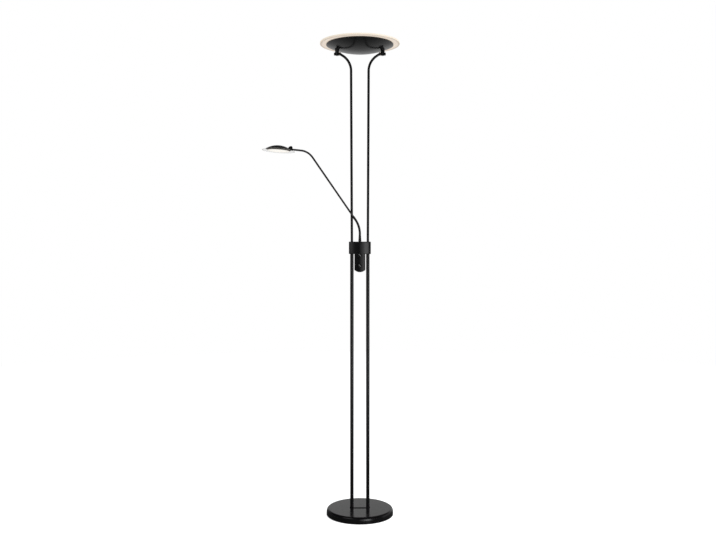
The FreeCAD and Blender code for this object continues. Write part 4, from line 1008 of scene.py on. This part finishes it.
def build_cheeks(look, place):
    """The two lugs on the dome that hold the knuckle."""
    eye_radius = 6.0 * MM
    wall = 2.5 * MM
    foot_z = READING_GLASS_THICKNESS + 1.0 * MM
    outline = [(34.0 * MM, foot_z), (46.0 * MM, foot_z)]
    outline += arc(PIVOT_X, PIVOT_Z, eye_radius, -22.0, 153.0, 24)
    upright = Matrix(((1, 0, 0, 0), (0, 0, -1, 0), (0, 1, 0, 0), (0, 0, 0, 1)))
    for name, low in (("front", 2.7 * MM), ("back", -5.2 * MM)):
        mesh_edit = bmesh.new()
        prism(mesh_edit, outline, low, low + wall, place @ upright)
        lug = as_object(
            "reading_lug_" + name, mesh_edit, look["black_paint_alloy"], "reading_head",
            crease=40.0,
        )
        round_edges(lug, 0.5 * MM)


# The studio

# What the gloss mirrors all round the lamp: (degrees from the viewer's side towards +X, radiance).
ROOM = [
    (-180, 0.72), (-165, 0.62), (-150, 0.25), (-120, 0.1), (-64, 0.04), (-22, 0.1), (-14, 0.12),
    (-5, 0.05), (38, 0.06), (80, 0.05), (88, 0.5), (137, 0.5), (150, 0.9), (165, 0.66), (180, 0.66),
]
RIGHT_CARD = [
    (0, 0.18), (4.5, 0.41), (8.6, 0.66), (12.6, 0.85), (16.8, 1.25), (21, 1.93), (25, 2.2), (33, 1.98),
    (37, 1.9),
]
LEFT_CARD = [(-60, 0.7), (-50, 0.85), (-38, 0.9), (-34, 0.8), (-30, 0.48), (-26, 0.3), (-22, 0.2)]
# A colour ramp holds radiance as a share of this peak.
RADIANCE_PEAK = 2.5
# What the gloss sees of the floor, as painted light and shadow in place of its lighting: (metres from
# the lamp, radiance); darkest near the lamp, as a painted shadow.
FLOOR_PAINTED_LIGHT_AND_SHADOW = [
    (0.55, 0.05), (0.93, 0.11), (1.2, 0.155), (1.6, 0.22), (1.95, 0.28), (2.4, 0.34), (3.6, 0.37),
    (4.5, 0.4),
]
FLOOR_RADIUS = 5.0
# Upward share of a direction over which the room fades, and heights over which a card's foot does.
ROOM_FADE = (0.33, 0.55)
CARD_FOOT_FADE = (0.45, 0.95)
# Level camera in front of the lamp: lens in mm, shifts as shares of the picture's width.
CAMERA_PLACE = (0.0, -3.18, 1.016)
CAMERA_LENS = 41.83
CAMERA_SHIFT = (-0.0026, -0.0307)


def mix_shader(tree, factor, first, second):
    node = tree.nodes.new("ShaderNodeMixShader")
    tree.links.new(factor, node.inputs[0])
    tree.links.new(first.outputs[0], node.inputs[1])
    tree.links.new(second.outputs[0], node.inputs[2])
    return node


def seen_directly(tree, paths):
    """1 for what the camera sees, also through glass."""
    return math_node(
        tree, "MAXIMUM", paths.outputs["Is Camera Ray"], paths.outputs["Is Transmission Ray"]
    )


def radiance_round(tree, place, steps):
    """Radiance by the bearing of a place round the lamp."""
    parts = tree.nodes.new("ShaderNodeSeparateXYZ")
    tree.links.new(place, parts.inputs[0])
    backward = math_node(tree, "MULTIPLY", parts.outputs["Y"], -1.0)
    bearing = math_node(tree, "ARCTAN2", parts.outputs["X"], backward)
    turn = spread(tree, bearing, 0.0, 1.0, -math.pi, math.pi)
    shares = [((degrees + 180.0) / 360.0, (value / RADIANCE_PEAK,) * 3) for degrees, value in steps]
    return math_node(tree, "MULTIPLY", colour_steps(tree, turn, shares), RADIANCE_PEAK)


def stage_mesh(name, mesh_edit):
    """Object for a piece of the studio."""
    mesh = bpy.data.meshes.new(name)
    mesh_edit.to_mesh(mesh)
    mesh_edit.free()
    piece = bpy.data.objects.new(name, mesh)
    bpy.context.scene.collection.objects.link(piece)
    return piece


def build_card(name, steps, distance, low, high, foot_gain):
    """Curved light box standing round the lamp, which only gloss sees; its foot may be brighter."""
    first = steps[0][0]
    last = steps[-1][0]
    panels = 32
    mesh_edit = bmesh.new()
    columns = []
    for step in range(panels + 1):
        turn = math.radians(first + (last - first) * step / panels)
        x = distance * math.sin(turn)
        y = -distance * math.cos(turn)
        columns.append((mesh_edit.verts.new((x, y, low)), mesh_edit.verts.new((x, y, high))))
    for here, following in zip(columns, columns[1:]):
        mesh_edit.faces.new((here[0], following[0], following[1], here[1]))
    card = stage_mesh(name, mesh_edit)
    made, tree, output = bare_material(name)
    made.cycles.emission_sampling = "NONE"
    glow = tree.nodes.new("ShaderNodeEmission")
    place = tree.nodes.new("ShaderNodeTexCoord").outputs["Object"]
    parts = tree.nodes.new("ShaderNodeSeparateXYZ")
    tree.links.new(place, parts.inputs[0])
    gain = spread(tree, parts.outputs["Z"], foot_gain, 1.0, *CARD_FOOT_FADE)
    around = radiance_round(tree, place, steps)
    tree.links.new(math_node(tree, "MULTIPLY", around, gain), glow.inputs["Strength"])
    tree.links.new(glow.outputs[0], output.inputs["Surface"])
    card.data.materials.append(made)
    card.visible_camera = False
    card.visible_diffuse = False
    card.visible_transmission = False
    card.visible_shadow = False


def build_world():
    """White for the camera, even soft light for matt surfaces, and a room of light boxes for gloss."""
    scene = bpy.context.scene
    world = bpy.data.worlds.new("studio")
    scene.world = world
    world.use_nodes = True
    world.cycles.sampling_method = "NONE"
    tree = world.node_tree
    tree.nodes.clear()
    output = tree.nodes.new("ShaderNodeOutputWorld")
    paths = tree.nodes.new("ShaderNodeLightPath")
    seen = seen_directly(tree, paths)
    white = tree.nodes.new("ShaderNodeBackground")
    white.inputs["Color"].default_value = (1, 1, 1, 1)
    soft = tree.nodes.new("ShaderNodeBackground")
    soft.inputs["Color"].default_value = (0.97, 0.98, 1.0, 1)
    soft.inputs["Strength"].default_value = 0.55
    room = tree.nodes.new("ShaderNodeBackground")
    direction = tree.nodes.new("ShaderNodeTexCoord").outputs["Generated"]
    parts = tree.nodes.new("ShaderNodeSeparateXYZ")
    tree.links.new(direction, parts.inputs[0])
    height = spread(tree, parts.outputs["Z"], 1.0, 0.1, *ROOM_FADE)
    around = radiance_round(tree, direction, ROOM)
    tree.links.new(math_node(tree, "MULTIPLY", around, height), room.inputs["Strength"])
    glossy = mix_shader(tree, paths.outputs["Is Glossy Ray"], soft, room)
    final = mix_shader(tree, seen, glossy, white)
    tree.links.new(final.outputs[0], output.inputs["Surface"])


def build_floor():
    """Plain white floor; the camera sees it a little brighter, and gloss sees it darker: painted light
    and shadow by distance from the lamp, darkest near it as a painted shadow, under a faint sheen.
    """
    mesh_edit = bmesh.new()
    bmesh.ops.create_circle(mesh_edit, cap_ends=True, segments=96, radius=FLOOR_RADIUS)
    floor = stage_mesh("floor", mesh_edit)
    made, tree, output = bare_material("floor_white")
    paths = tree.nodes.new("ShaderNodeLightPath")
    matt = tree.nodes.new("ShaderNodeBsdfDiffuse")
    matt.inputs["Color"].default_value = (0.82, 0.82, 0.82, 1)
    away = tree.nodes.new("ShaderNodeVectorMath")
    away.operation = "LENGTH"
    tree.links.new(tree.nodes.new("ShaderNodeTexCoord").outputs["Object"], away.inputs[0])
    share = spread(tree, away.outputs["Value"], 0.0, 1.0, 0.0, FLOOR_RADIUS)
    steps = [(metres / FLOOR_RADIUS, (value,) * 3) for metres, value in FLOOR_PAINTED_LIGHT_AND_SHADOW]
    # Painted light and shadow for gloss, in place of the floor's own lighting: dark near the lamp,
    # brighter further out.
    painted_floor_light = tree.nodes.new("ShaderNodeEmission")
    tree.links.new(colour_steps(tree, share, steps), painted_floor_light.inputs["Color"])
    sheen = tree.nodes.new("ShaderNodeBsdfAnisotropic")
    sheen.inputs["Color"].default_value = (0.08, 0.08, 0.08, 1)
    sheen.inputs["Roughness"].default_value = 0.12
    painted_floor_and_sheen = tree.nodes.new("ShaderNodeAddShader")
    tree.links.new(painted_floor_light.outputs[0], painted_floor_and_sheen.inputs[0])
    tree.links.new(sheen.outputs[0], painted_floor_and_sheen.inputs[1])
    glow = tree.nodes.new("ShaderNodeEmission")
    glow.inputs["Strength"].default_value = 0.55
    dark = tree.nodes.new("ShaderNodeEmission")
    dark.inputs["Strength"].default_value = 0.0
    seen = seen_directly(tree, paths)
    lift = mix_shader(tree, seen, dark, glow)
    body = mix_shader(tree, paths.outputs["Is Glossy Ray"], matt, painted_floor_and_sheen)
    total = tree.nodes.new("ShaderNodeAddShader")
    tree.links.new(body.outputs[0], total.inputs[0])
    tree.links.new(lift.outputs[0], total.inputs[1])
    tree.links.new(total.outputs[0], output.inputs["Surface"])
    floor.data.materials.append(made)


def area_lamp(name, place, target, width, height, power):
    """Soft lamp that points at a target; gloss doesn't see it."""
    data = bpy.data.lights.new(name, "AREA")
    data.shape = "RECTANGLE"
    data.size = width
    data.size_y = height
    data.energy = power
    lamp = bpy.data.objects.new(name, data)
    lamp.location = place
    heading = Vector(target) - Vector(place)
    lamp.rotation_euler = heading.to_track_quat("-Z", "Y").to_euler()
    lamp.visible_glossy = False
    bpy.context.scene.collection.objects.link(lamp)


def build_lights():
    area_lamp("key_right", (2.6, -1.6, 1.3), (0, 0, 0.95), width=1.1, height=2.4, power=75)
    area_lamp("top_soft", (0.3, -0.6, 3.6), (0, 0, 0.5), width=2.2, height=2.2, power=55)


def build_camera():
    data = bpy.data.cameras.new("camera")
    data.lens = CAMERA_LENS
    data.sensor_width = 36.0
    data.shift_x, data.shift_y = CAMERA_SHIFT
    camera = bpy.data.objects.new("camera", data)
    camera.location = CAMERA_PLACE
    camera.rotation_euler = (math.radians(90), 0, 0)
    bpy.context.scene.collection.objects.link(camera)
    bpy.context.scene.camera = camera


def dress_nodes(look):
    """Give every CAD node the material of its slot."""
    for row in frame["record"]["subparts"]:
        node = frame["nodes"][row["node"]]
        node.data.materials.clear()
        node.data.materials.append(look[row["material_slot"]])


def main():
    look = build_materials()
    dress_nodes(look)
    build_base(look)
    build_poles(look)
    build_neck(look)
    build_arm(look)
    build_uplighter(look)
    build_controls(look)
    build_reading_head(look)
    build_world()
    build_card("card_right", RIGHT_CARD, distance=3.2, low=0.0, high=1.2, foot_gain=1.6)
    build_card("card_left", LEFT_CARD, distance=2.5, low=0.95, high=2.6, foot_gain=1.0)
    build_floor()
    build_lights()
    build_camera()
    bpy.context.scene.view_settings.view_transform = "Standard"


main()
